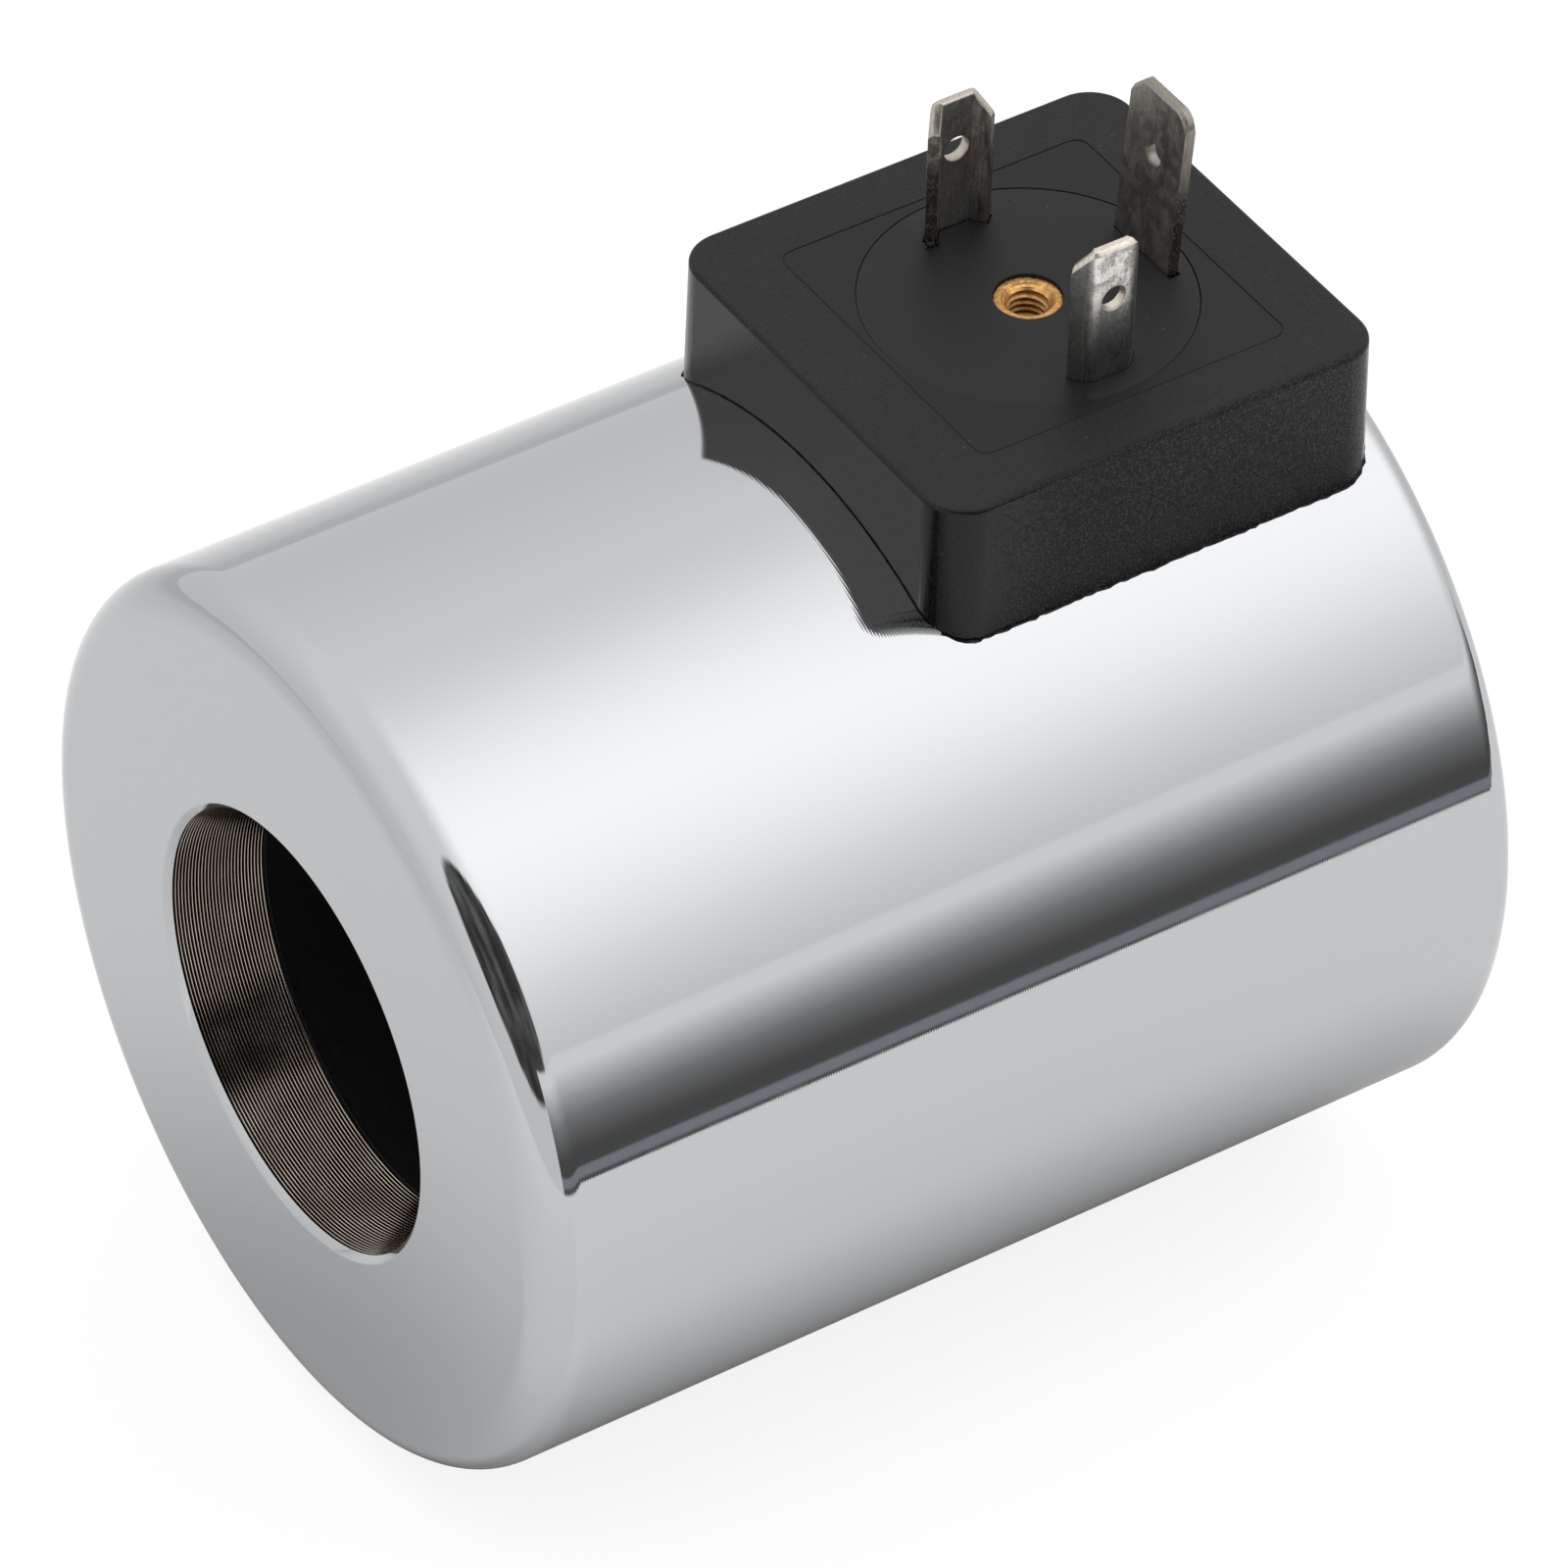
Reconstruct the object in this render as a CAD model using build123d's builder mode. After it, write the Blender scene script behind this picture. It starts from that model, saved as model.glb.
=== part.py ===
"""Solenoid coil for a hydraulic valve: plated steel casing, wound bobbin and moulded plug base.

The bore's axis is X, the front face lies at X = 0 and the plug base stands up along Z.
Everything is in millimetres.
"""
from build123d import *
import math
import os

os.makedirs("parts", exist_ok=True)

# Casing, turned from bar: its diameter is the sum of what lies round the bore, 62.5 in all
bore_diameter = 31.0
casing_length = 75.3
front_wall_thickness = 7.4
shell_wall_thickness = 4.6
front_edge_radius = 3.1
rear_edge_radius = 1.9
bore_mouth_chamfer = 0.45

# Rear pole plate, pressed into a seat in the casing's open end
plate_thickness = 6.0
plate_recess = 0.6
plate_seat_step = 0.7
plate_edge_chamfer = 0.4

# Bobbin, winding and wrap
bobbin_bore_clearance = 0.2
bobbin_wall_thickness = 1.3
bobbin_mouth_chamfer = 0.3
flange_thickness = 1.8
flange_rim_gap = 0.9
flange_rim_radius = 0.4
winding_depth = 7.3
winding_rim_margin = 1.45
wrap_thickness = 0.3

# Plug base: its length and width are those of the top face
base_rise = 6.15
base_length = 34.0
base_width = 32.4
base_rear_gap = 2.3
base_corner_radius = 3.1
base_draft_angle = 0.8
base_edge_chamfer = 0.3
saddle_margin = 1.0

# Terminal carrier, and the casing's window round it
carrier_wall = 1.7
carrier_depth = 7.6
carrier_groove_depth = 0.6
carrier_groove_width = 1.4
carrier_groove_drop = 3.2
window_margin = 0.9
window_corner_radius = 3.0

# Brass insert for the plug's M3 screw
thread_minor_diameter = 2.5
thread_mouth_diameter = 3.2
insert_flange_diameter = 4.56
insert_flange_thickness = 0.9
insert_body_diameter = 4.0
insert_waist_diameter = 3.6
insert_waist_width = 1.2
insert_recess = 0.3
insert_floor = 0.9

# Folded contact blades
blade_thickness = 0.8
blade_tip_chamfer = 0.2
contact_spacing = 18.0
contact_height = 10.4
contact_web_width = 3.15
contact_wing_length = 1.6
contact_fold_angle = 50.0
contact_bend_radius = 0.3
contact_corner_drop = 2.2
contact_hole_diameter = 1.9
contact_hole_height = 6.3
tail_width = 1.6

# Flat earth blade
earth_offset = 9.2
earth_width = 6.1
earth_height = 12.5
earth_lean_angle = 4.3
earth_corner_cut = 1.2
earth_hole_diameter = 1.9
earth_hole_height = 7.7
earth_tail_width = 4.0
earth_bend_radius = 0.5
earth_foot_gap = 0.8

# Leads, sleeves and solder joints
lead_diameter = 0.7
lead_bend_radius = 0.7
lead_casing_gap = 0.15
lead_rise = 0.6
lead_overrun = 0.7
notch_clearance = 0.2
sleeve_wall_thickness = 0.3
sleeve_front_gap = 0.5
sleeve_rear_gap = 0.9
solder_diameter = 2.2
solder_length = 2.4

# Radii round the bore's axis, from the bore outwards
bore_radius = bore_diameter / 2
bobbin_bore_radius = bore_radius + bobbin_bore_clearance
tube_radius = bobbin_bore_radius + bobbin_wall_thickness
winding_radius = tube_radius + winding_depth
wrap_radius = winding_radius + wrap_thickness
flange_radius = winding_radius + winding_rim_margin
cavity_radius = flange_radius + flange_rim_gap
plate_radius = cavity_radius + plate_seat_step
casing_radius = cavity_radius + shell_wall_thickness

# Places along the bore
plate_front = casing_length - plate_recess - plate_thickness
winding_front = front_wall_thickness + flange_thickness
winding_rear = plate_front - flange_thickness
base_position = casing_length - base_rear_gap - base_length / 2

# Carrier and window
base_top = casing_radius + base_rise
contact_y = contact_spacing / 2
carrier_radius = contact_y + blade_thickness / 2 + carrier_wall
carrier_foot = base_top - carrier_depth
window_size = 2 * (carrier_radius + window_margin)
window_rear = base_position + window_size / 2


def height_on_cylinder(radius, y):
    """Height above the bore's axis of a cylinder round it, at the distance y from the middle."""
    return math.sqrt(radius ** 2 - y ** 2)


# Casing: a turned shell with a thick front wall, open at the rear for the wound bobbin
with BuildPart() as casing:
    with BuildSketch(Plane.XZ):
        with BuildLine():
            Polyline(
                (0, bore_radius),
                (0, casing_radius),
                (casing_length, casing_radius),
                (casing_length, plate_radius),
                (plate_front, plate_radius),
                (plate_front, cavity_radius),
                (front_wall_thickness, cavity_radius),
                (front_wall_thickness, bore_radius),
                close=True,
            )
        make_face()
    revolve(axis=Axis.X)
    front_circles = casing.edges().filter_by(GeomType.CIRCLE).group_by(Axis.X)[0]
    rear_circles = casing.edges().filter_by(GeomType.CIRCLE).group_by(Axis.X)[-1]
    fillet(front_circles.sort_by(SortBy.RADIUS)[-1], front_edge_radius)
    fillet(rear_circles.sort_by(SortBy.RADIUS)[-1], rear_edge_radius)
    mouth_circles = casing.edges().filter_by(GeomType.CIRCLE).group_by(Axis.X)[0]
    chamfer(mouth_circles.sort_by(SortBy.RADIUS)[0], bore_mouth_chamfer)
    # Window that the neck of the plug base fills
    with BuildSketch(Plane.XY):
        with Locations((base_position, 0)):
            RectangleRounded(window_size, window_size, window_corner_radius)
    extrude(amount=casing_radius, mode=Mode.SUBTRACT)

# Rear pole plate: steel ring that closes the magnetic path round the core tube
with BuildPart() as rear_pole_plate:
    with BuildSketch(Plane.YZ.offset(plate_front)):
        Circle(plate_radius)
        Circle(bore_radius, mode=Mode.SUBTRACT)
    extrude(amount=plate_thickness)
    plate_rims = rear_pole_plate.edges().filter_by(GeomType.CIRCLE).group_by(Axis.X)[-1]
    chamfer(plate_rims, plate_edge_chamfer)

# Bobbin: a tube with two flanges, the rear one notched for the two ends of the wire
lead_radius = lead_diameter / 2
lead_y = contact_y + blade_thickness / 2 + lead_radius
start_height = height_on_cylinder(tube_radius + lead_radius, lead_y)
finish_height = height_on_cylinder(winding_radius - lead_radius, lead_y)
notch_width = lead_diameter + 2 * notch_clearance
with BuildPart() as bobbin:
    with BuildSketch(Plane.XZ):
        with BuildLine():
            Polyline(
                (front_wall_thickness, bobbin_bore_radius),
                (front_wall_thickness, flange_radius),
                (winding_front, flange_radius),
                (winding_front, tube_radius),
                (winding_rear, tube_radius),
                (winding_rear, flange_radius),
                (plate_front, flange_radius),
                (plate_front, bobbin_bore_radius),
                close=True,
            )
        make_face()
    revolve(axis=Axis.X)
    chamfer(bobbin.edges().filter_by(GeomType.CIRCLE).group_by(SortBy.RADIUS)[0], bobbin_mouth_chamfer)
    fillet(bobbin.edges().filter_by(GeomType.CIRCLE).group_by(SortBy.RADIUS)[-1], flange_rim_radius)
    for side, lead_height in ((1, start_height), (-1, finish_height)):
        with BuildSketch(Plane.YZ.offset(winding_rear)):
            with Locations((side * lead_y, lead_height - notch_width / 2)):
                Rectangle(notch_width, flange_radius, align=(Align.CENTER, Align.MIN))
        extrude(amount=flange_thickness, mode=Mode.SUBTRACT)

# Winding: enamelled copper wire that fills the bobbin
with BuildPart() as winding:
    with BuildSketch(Plane.YZ.offset(winding_front)):
        Circle(winding_radius)
        Circle(tube_radius, mode=Mode.SUBTRACT)
    extrude(amount=winding_rear - winding_front)

# Insulating tape round the winding
with BuildPart() as winding_wrap:
    with BuildSketch(Plane.YZ.offset(winding_front)):
        Circle(wrap_radius)
        Circle(winding_radius, mode=Mode.SUBTRACT)
    extrude(amount=winding_rear - winding_front)

# Contact blade: a web along X whose two wings fold in towards the carrier, on a narrow tail
run_height = height_on_cylinder(cavity_radius - lead_radius - lead_casing_gap, lead_y)
tail_foot = run_height - lead_rise
contact_tip = base_top + contact_height
web_face = contact_y + blade_thickness / 2
half_web = contact_web_width / 2
wing_run = contact_wing_length * math.cos(math.radians(contact_fold_angle))
wing_reach = contact_wing_length * math.sin(math.radians(contact_fold_angle))
wing_end = half_web + wing_run
blade_side = wing_end + blade_thickness
with BuildPart() as terminal_1:
    with BuildSketch(Plane.XY.offset(tail_foot)):
        with BuildLine():
            FilletPolyline(
                (base_position - wing_end, web_face - wing_reach),
                (base_position - half_web, web_face),
                (base_position + half_web, web_face),
                (base_position + wing_end, web_face - wing_reach),
                radius=contact_bend_radius + blade_thickness,
            )
            offset(amount=blade_thickness, side=Side.RIGHT)
        make_face()
    extrude(amount=contact_tip - tail_foot)
    # Flat pattern seen from the side: sloped tip corners, full width to the carrier's foot, then the tail
    with BuildSketch(Plane.XZ):
        with BuildLine():
            Polyline(
                (base_position - tail_width / 2, tail_foot),
                (base_position - tail_width / 2, carrier_foot),
                (base_position - blade_side, carrier_foot),
                (base_position - blade_side, contact_tip - contact_corner_drop),
                (base_position - wing_end, contact_tip - contact_corner_drop),
                (base_position - half_web, contact_tip),
                (base_position, contact_tip),
                (base_position, tail_foot),
                close=True,
            )
        make_face()
        mirror(about=Plane.YZ.offset(base_position))
    extrude(amount=-casing_radius, mode=Mode.INTERSECT)
    tip_face = terminal_1.faces().sort_by(Axis.Z)[-1]
    chamfer(tip_face.edges().filter_by(Axis.X), blade_tip_chamfer)
    with BuildSketch(Plane.XZ):
        with Locations((base_position, base_top + contact_hole_height)):
            Circle(contact_hole_diameter / 2)
    extrude(amount=-casing_radius, mode=Mode.SUBTRACT)

# The second contact blade faces the first
with BuildPart() as terminal_2:
    mirror(terminal_1.part, about=Plane.XZ)

# Earth blade: a flat strip that leans a little to the rear, its foot bent to bear on the window's edge
earth_x = base_position + earth_offset
earth_front = earth_x - blade_thickness / 2
earth_foot = carrier_foot - earth_foot_gap - blade_thickness
earth_lean = math.radians(earth_lean_angle)
with BuildPart() as earth_terminal:
    with BuildSketch(Plane.XZ):
        with BuildLine():
            FilletPolyline(
                (window_rear, earth_foot),
                (earth_front, earth_foot),
                (earth_front, base_top),
                (
                    earth_front + earth_height * math.sin(earth_lean),
                    base_top + earth_height * math.cos(earth_lean),
                ),
                radius=earth_bend_radius + blade_thickness,
            )
            offset(amount=blade_thickness, side=Side.RIGHT)
        make_face()
    extrude(amount=earth_width / 2, both=True)
    for side in (-1, 1):
        with BuildSketch(Plane.YZ.offset(earth_front)):
            with Locations((side * earth_tail_width / 2, carrier_foot)):
                Rectangle(side * earth_width, carrier_foot, align=(Align.MIN, Align.MAX))
        extrude(amount=window_size, mode=Mode.SUBTRACT)
    tip_face = earth_terminal.faces().sort_by(Axis.Z)[-1]
    chamfer(tip_face.edges().filter_by(Axis.Y, reverse=True), earth_corner_cut)
    tip_face = earth_terminal.faces().sort_by(Axis.Z)[-1]
    chamfer(tip_face.edges().filter_by(Axis.Y), blade_tip_chamfer)
    leaning_plane = Plane(
        origin=(earth_x, 0, base_top),
        x_dir=(0, 1, 0),
        z_dir=(math.cos(earth_lean), 0, -math.sin(earth_lean)),
    )
    with BuildSketch(leaning_plane):
        with Locations((0, earth_hole_height)):
            Circle(earth_hole_diameter / 2)
    extrude(amount=blade_thickness, both=True, mode=Mode.SUBTRACT)

# Brass insert: flanged bush with a waist that keys it in the carrier
insert_top = base_top - insert_recess
insert_foot = carrier_foot + insert_floor
insert_axis = Axis((base_position, 0, 0), (0, 0, 1))
waist_middle = (insert_top - insert_flange_thickness + insert_foot) / 2
insert_side = [
    (base_position + insert_flange_diameter / 2, insert_top),
    (base_position + insert_flange_diameter / 2, insert_top - insert_flange_thickness),
    (base_position + insert_body_diameter / 2, insert_top - insert_flange_thickness),
    (base_position + insert_body_diameter / 2, waist_middle + insert_waist_width / 2),
    (base_position + insert_waist_diameter / 2, waist_middle + insert_waist_width / 2),
    (base_position + insert_waist_diameter / 2, waist_middle - insert_waist_width / 2),
    (base_position + insert_body_diameter / 2, waist_middle - insert_waist_width / 2),
    (base_position + insert_body_diameter / 2, insert_foot),
]
with BuildPart() as thread_insert:
    with BuildSketch(Plane.XZ):
        with BuildLine():
            Polyline(
                (base_position + thread_minor_diameter / 2, insert_foot),
                (base_position + thread_minor_diameter / 2, insert_top),
                *insert_side,
                close=True,
            )
        make_face()
    revolve(axis=insert_axis)
    thread_mouth = thread_insert.faces().sort_by(Axis.Z)[-1].inner_wires()[0]
    chamfer(thread_mouth.edges(), (thread_mouth_diameter - thread_minor_diameter) / 2)

# Terminal carrier: round moulding that holds the three blades and the insert
with BuildPart() as terminal_carrier:
    with BuildSketch(Plane.XY.offset(carrier_foot)):
        with Locations((base_position, 0)):
            Circle(carrier_radius)
    extrude(amount=carrier_depth)
    with BuildSketch(Plane.XY.offset(base_top - carrier_groove_drop - carrier_groove_width)):
        with Locations((base_position, 0)):
            Circle(carrier_radius)
            Circle(carrier_radius - carrier_groove_depth, mode=Mode.SUBTRACT)
    extrude(amount=carrier_groove_width, mode=Mode.SUBTRACT)
    # Pocket of the insert, open at the top
    with BuildSketch(Plane.XZ):
        with BuildLine():
            Polyline(
                (base_position, insert_foot),
                (base_position, base_top),
                (base_position + insert_flange_diameter / 2, base_top),
                *insert_side[1:],
                close=True,
            )
        make_face()
    revolve(axis=insert_axis, mode=Mode.SUBTRACT)
    for blade in (terminal_1, terminal_2, earth_terminal):
        add(blade.part, mode=Mode.SUBTRACT)

# Leads: each end of the wire leaves through its notch and runs forward to its blade's tail
lead_turn = winding_rear + flange_thickness / 2
lead_end = base_position - lead_overrun
with BuildPart() as lead_start:
    with BuildLine():
        start_route = FilletPolyline(
            (winding_rear, lead_y, start_height),
            (lead_turn, lead_y, start_height),
            (lead_turn, lead_y, run_height),
            (lead_end, lead_y, run_height),
            radius=lead_bend_radius,
        )
    with BuildSketch(Plane(origin=start_route @ 0, z_dir=start_route % 0)):
        Circle(lead_radius)
    sweep()

with BuildPart() as lead_finish:
    with BuildLine():
        finish_route = FilletPolyline(
            (winding_rear, -lead_y, finish_height),
            (lead_turn, -lead_y, finish_height),
            (lead_turn, -lead_y, run_height),
            (lead_end, -lead_y, run_height),
            radius=lead_bend_radius,
        )
    with BuildSketch(Plane(origin=finish_route @ 0, z_dir=finish_route % 0)):
        Circle(lead_radius)
    sweep()

# Solder that joins a lead to its tail
with BuildPart() as solder_joint_1:
    with BuildSketch(Plane.YZ.offset(base_position - solder_length / 2)):
        with Locations((web_face, run_height)):
            Circle(solder_diameter / 2)
    extrude(amount=solder_length)
    for joined in (terminal_1, lead_start):
        add(joined.part, mode=Mode.SUBTRACT)

with BuildPart() as solder_joint_2:
    mirror(solder_joint_1.part, about=Plane.XZ)

# Insulating sleeve on a lead, between the solder and the flange
sleeve_front = base_position + solder_length / 2 + sleeve_front_gap
sleeve_rear = winding_rear - sleeve_rear_gap
with BuildPart() as lead_sleeve_1:
    with BuildSketch(Plane.YZ.offset(sleeve_front)):
        with Locations((lead_y, run_height)):
            Circle(lead_radius + sleeve_wall_thickness)
            Circle(lead_radius, mode=Mode.SUBTRACT)
    extrude(amount=sleeve_rear - sleeve_front)

with BuildPart() as lead_sleeve_2:
    mirror(lead_sleeve_1.part, about=Plane.XZ)

# Encapsulation: one shot of plastic that fills the room round the winding and forms the plug base
saddle_foot = height_on_cylinder(casing_radius, base_width / 2 + saddle_margin)
core_hole_radius = bobbin_bore_radius + bobbin_mouth_chamfer
with BuildPart() as encapsulation:
    with BuildSketch(Plane.XY.offset(base_top)):
        with Locations((base_position, 0)):
            RectangleRounded(base_length, base_width, base_corner_radius)
    extrude(amount=saddle_foot - base_top, taper=-base_draft_angle)
    top_outline = encapsulation.faces().sort_by(Axis.Z)[-1].outer_wire()
    chamfer(top_outline.edges(), base_edge_chamfer)
    # Saddle that sits on the casing
    with BuildSketch(Plane.YZ):
        Circle(casing_radius)
    extrude(amount=casing_length, mode=Mode.SUBTRACT)
    # Neck through the casing's window
    with BuildSketch(Plane.XY):
        with Locations((base_position, 0)):
            RectangleRounded(window_size, window_size, window_corner_radius)
    extrude(amount=base_top - base_rise / 2)
    # Filling between the front wall and the pole plate
    with BuildSketch(Plane.YZ.offset(front_wall_thickness)):
        Circle(cavity_radius)
    extrude(amount=plate_front - front_wall_thickness)
    with BuildSketch(Plane.YZ):
        Circle(core_hole_radius)
    extrude(amount=casing_length, mode=Mode.SUBTRACT)
    with BuildSketch(Plane.YZ.offset(plate_front)):
        Circle(plate_radius)
    extrude(amount=casing_length - plate_front, mode=Mode.SUBTRACT)
    # Room of the carrier inside its groove, with the insert's well
    with BuildSketch(Plane.XY.offset(carrier_foot)):
        with Locations((base_position, 0)):
            Circle(carrier_radius - carrier_groove_depth)
    extrude(amount=carrier_depth, mode=Mode.SUBTRACT)
    for enclosed in (
        bobbin,
        winding,
        winding_wrap,
        terminal_carrier,
        terminal_1,
        terminal_2,
        earth_terminal,
        lead_start,
        lead_finish,
        lead_sleeve_1,
        lead_sleeve_2,
        solder_joint_1,
        solder_joint_2,
    ):
        add(enclosed.part, mode=Mode.SUBTRACT)

casing.part.label = "casing"
export_step(casing.part, "parts/casing.step")
rear_pole_plate.part.label = "rear_pole_plate"
export_step(rear_pole_plate.part, "parts/rear_pole_plate.step")
bobbin.part.label = "bobbin"
export_step(bobbin.part, "parts/bobbin.step")
winding.part.label = "winding"
export_step(winding.part, "parts/winding.step")
winding_wrap.part.label = "winding_wrap"
export_step(winding_wrap.part, "parts/winding_wrap.step")
encapsulation.part.label = "encapsulation"
export_step(encapsulation.part, "parts/encapsulation.step")
terminal_carrier.part.label = "terminal_carrier"
export_step(terminal_carrier.part, "parts/terminal_carrier.step")
thread_insert.part.label = "thread_insert"
export_step(thread_insert.part, "parts/thread_insert.step")
terminal_1.part.label = "terminal_1"
export_step(terminal_1.part, "parts/terminal_1.step")
terminal_2.part.label = "terminal_2"
export_step(terminal_2.part, "parts/terminal_2.step")
earth_terminal.part.label = "earth_terminal"
export_step(earth_terminal.part, "parts/earth_terminal.step")
lead_start.part.label = "lead_start"
export_step(lead_start.part, "parts/lead_start.step")
lead_finish.part.label = "lead_finish"
export_step(lead_finish.part, "parts/lead_finish.step")
lead_sleeve_1.part.label = "lead_sleeve_1"
export_step(lead_sleeve_1.part, "parts/lead_sleeve_1.step")
lead_sleeve_2.part.label = "lead_sleeve_2"
export_step(lead_sleeve_2.part, "parts/lead_sleeve_2.step")
solder_joint_1.part.label = "solder_joint_1"
export_step(solder_joint_1.part, "parts/solder_joint_1.step")
solder_joint_2.part.label = "solder_joint_2"
export_step(solder_joint_2.part, "parts/solder_joint_2.step")
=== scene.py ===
import math

import bmesh
import bpy
from mathutils import Matrix, Vector


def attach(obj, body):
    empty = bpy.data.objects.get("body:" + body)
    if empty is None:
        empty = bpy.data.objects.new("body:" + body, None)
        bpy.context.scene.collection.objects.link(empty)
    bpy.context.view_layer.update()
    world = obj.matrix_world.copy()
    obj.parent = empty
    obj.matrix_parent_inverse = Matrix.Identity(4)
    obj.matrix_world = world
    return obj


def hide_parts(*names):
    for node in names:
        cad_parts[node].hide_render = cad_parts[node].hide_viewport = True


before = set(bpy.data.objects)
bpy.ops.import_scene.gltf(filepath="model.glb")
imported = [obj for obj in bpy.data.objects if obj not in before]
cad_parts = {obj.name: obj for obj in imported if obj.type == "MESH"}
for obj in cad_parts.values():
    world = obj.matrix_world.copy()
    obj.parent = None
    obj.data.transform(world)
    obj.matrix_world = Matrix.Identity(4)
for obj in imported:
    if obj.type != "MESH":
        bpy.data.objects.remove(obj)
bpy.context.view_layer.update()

# Camera: a long lens above and to the left of the coil's mouth, so that the front face, the casing's
# flank and the plug are seen together. The coil lies on its side with the plug up.
mm = 0.001
camera_azimuth = math.radians(-34.258)
camera_elevation = math.radians(41.499)
camera_roll = math.radians(1.587)
camera_distance = 743.86 * mm
camera_target = Vector((38.035, 0, 3.80)) * mm
camera_lens = 259.82
camera_sensor = 36
camera_clip = (0.05, 20)


def toward(azimuth, elevation):
    """The way out from the coil, turned by an azimuth from its -Y side and lifted by an elevation."""
    level = math.cos(elevation)
    return Vector((math.sin(azimuth) * level, -math.cos(azimuth) * level, math.sin(elevation)))


side = Vector((math.cos(camera_azimuth), math.sin(camera_azimuth), 0))
back = toward(camera_azimuth, camera_elevation)
up = back.cross(side)
rolled_side = side * math.cos(camera_roll) + up * math.sin(camera_roll)
rolled_up = up * math.cos(camera_roll) - side * math.sin(camera_roll)
camera = bpy.data.objects.new("camera", bpy.data.cameras.new("camera"))
bpy.context.collection.objects.link(camera)
camera.data.lens = camera_lens
camera.data.sensor_width = camera_sensor
camera.data.clip_start, camera.data.clip_end = camera_clip
camera_turn = Matrix((rolled_side, rolled_up, back)).transposed().to_4x4()
camera.matrix_world = Matrix.Translation(camera_target + back * camera_distance) @ camera_turn
bpy.context.scene.camera = camera
bpy.context.scene.view_settings.view_transform = "Standard"

# Light tent: white cloth all round, brighter where the lamp stands over it, with a round opening on the
# camera's side, a dark gap where the table ends in front and a seam behind, below which the cloth is a
# little darker. The world is this tent; what the camera sees past the floor is plain white.
tent_low, tent_high = 0.84, 0.98
seam_slope = 0.752
seam_level = 0.955
seam_fade = (0.05, 0.28)
lamp_direction = Vector((0.4216, -0.303, 0.855))
lamp_reach = math.cos(math.radians(50))
lamp_level = 0.605
opening_edge = (0.94, 1.04)
opening_azimuth, opening_elevation = math.radians(-26), math.radians(36)
opening_half_width, opening_half_height = 0.588, 0.485
opening_level = 0.10
gap_start, gap_end = math.radians(-14), math.radians(75)
gap_half_height = 0.30
gap_softness = 0.03
table_low, table_high = (-0.25, -0.235), (0.30, 0.28)


def feed(node, inputs):
    """Sets a node's inputs, as values or as the outputs that feed them."""
    for name, value in inputs.items():
        if isinstance(value, bpy.types.NodeSocket):
            node.id_data.links.new(value, node.inputs[name])
        else:
            node.inputs[name].default_value = value


def add_node(tree, kind, inputs=None, **settings):
    """Adds a node with its settings and inputs."""
    made = tree.nodes.new(kind)
    for name, value in settings.items():
        setattr(made, name, value)
    feed(made, inputs or {})
    return made


def calc(operation, *values):
    """A figure worked out from values or outputs, in the tree of the first output among them."""
    tree = next(value.id_data for value in values if isinstance(value, bpy.types.NodeSocket))
    return add_node(tree, "ShaderNodeMath", dict(enumerate(values)), operation=operation).outputs[0]


def times(first, second):
    """The product of two figures."""
    return calc("MULTIPLY", first, second)


def fade(value, low, high, start=0.0, end=1.0):
    """A soft step of the value from start, at low, to end, at high."""
    inputs = {"Value": value, "From Min": low, "From Max": high, "To Min": start, "To Max": end}
    made = add_node(value.id_data, "ShaderNodeMapRange", inputs, interpolation_type="SMOOTHSTEP")
    return made.outputs["Result"]


def long_side(first, second):
    """The long side of a right triangle with these two sides."""
    return calc("SQRT", calc("ADD", calc("POWER", first, 2.0), calc("POWER", second, 2.0)))


def vector_calc(operation, vector, other=None):
    """A vector or figure worked out from a vector, alone or with another one or a scale."""
    inputs = {0: vector}
    if other is not None:
        inputs["Scale" if operation == "SCALE" else 1] = other
    made = add_node(vector.id_data, "ShaderNodeVectorMath", inputs, operation=operation)
    return made.outputs["Value" if operation in ("LENGTH", "DOT_PRODUCT") else "Vector"]


def along(vector, direction):
    """How far the vector goes in a direction."""
    return vector_calc("DOT_PRODUCT", vector, direction)


def blend(share, first, second):
    """A mix of two figures by a share."""
    inputs = {0: share, "A": first, "B": second}
    return add_node(share.id_data, "ShaderNodeMix", inputs, data_type="FLOAT").outputs["Result"]


def mix(share, first, second):
    """A mix of two colours by a share."""
    inputs = {0: share, 6: first, 7: second}
    return add_node(share.id_data, "ShaderNodeMix", inputs, data_type="RGBA").outputs[2]


def noise(vector, scale, detail, roughness=0.5):
    """Soft noise over a vector, with about so many blots to the metre."""
    inputs = {"Vector": vector, "Scale": scale, "Detail": detail, "Roughness": roughness}
    return add_node(vector.id_data, "ShaderNodeTexNoise", inputs).outputs["Fac"]


def shades(value, *stops):
    """A colour read from stops of place and colour; a single figure stands for a grey."""
    made = add_node(value.id_data, "ShaderNodeValToRGB", {"Fac": value})
    ramp = made.color_ramp
    while len(ramp.elements) < len(stops):
        ramp.elements.new(0.5)
    for element, (place, colour) in zip(ramp.elements, stops):
        element.position = place
    for element, (place, colour) in zip(ramp.elements, stops):
        element.color = (colour, colour, colour, 1) if isinstance(colour, float) else (*colour, 1)
    return made.outputs["Color"]


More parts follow.
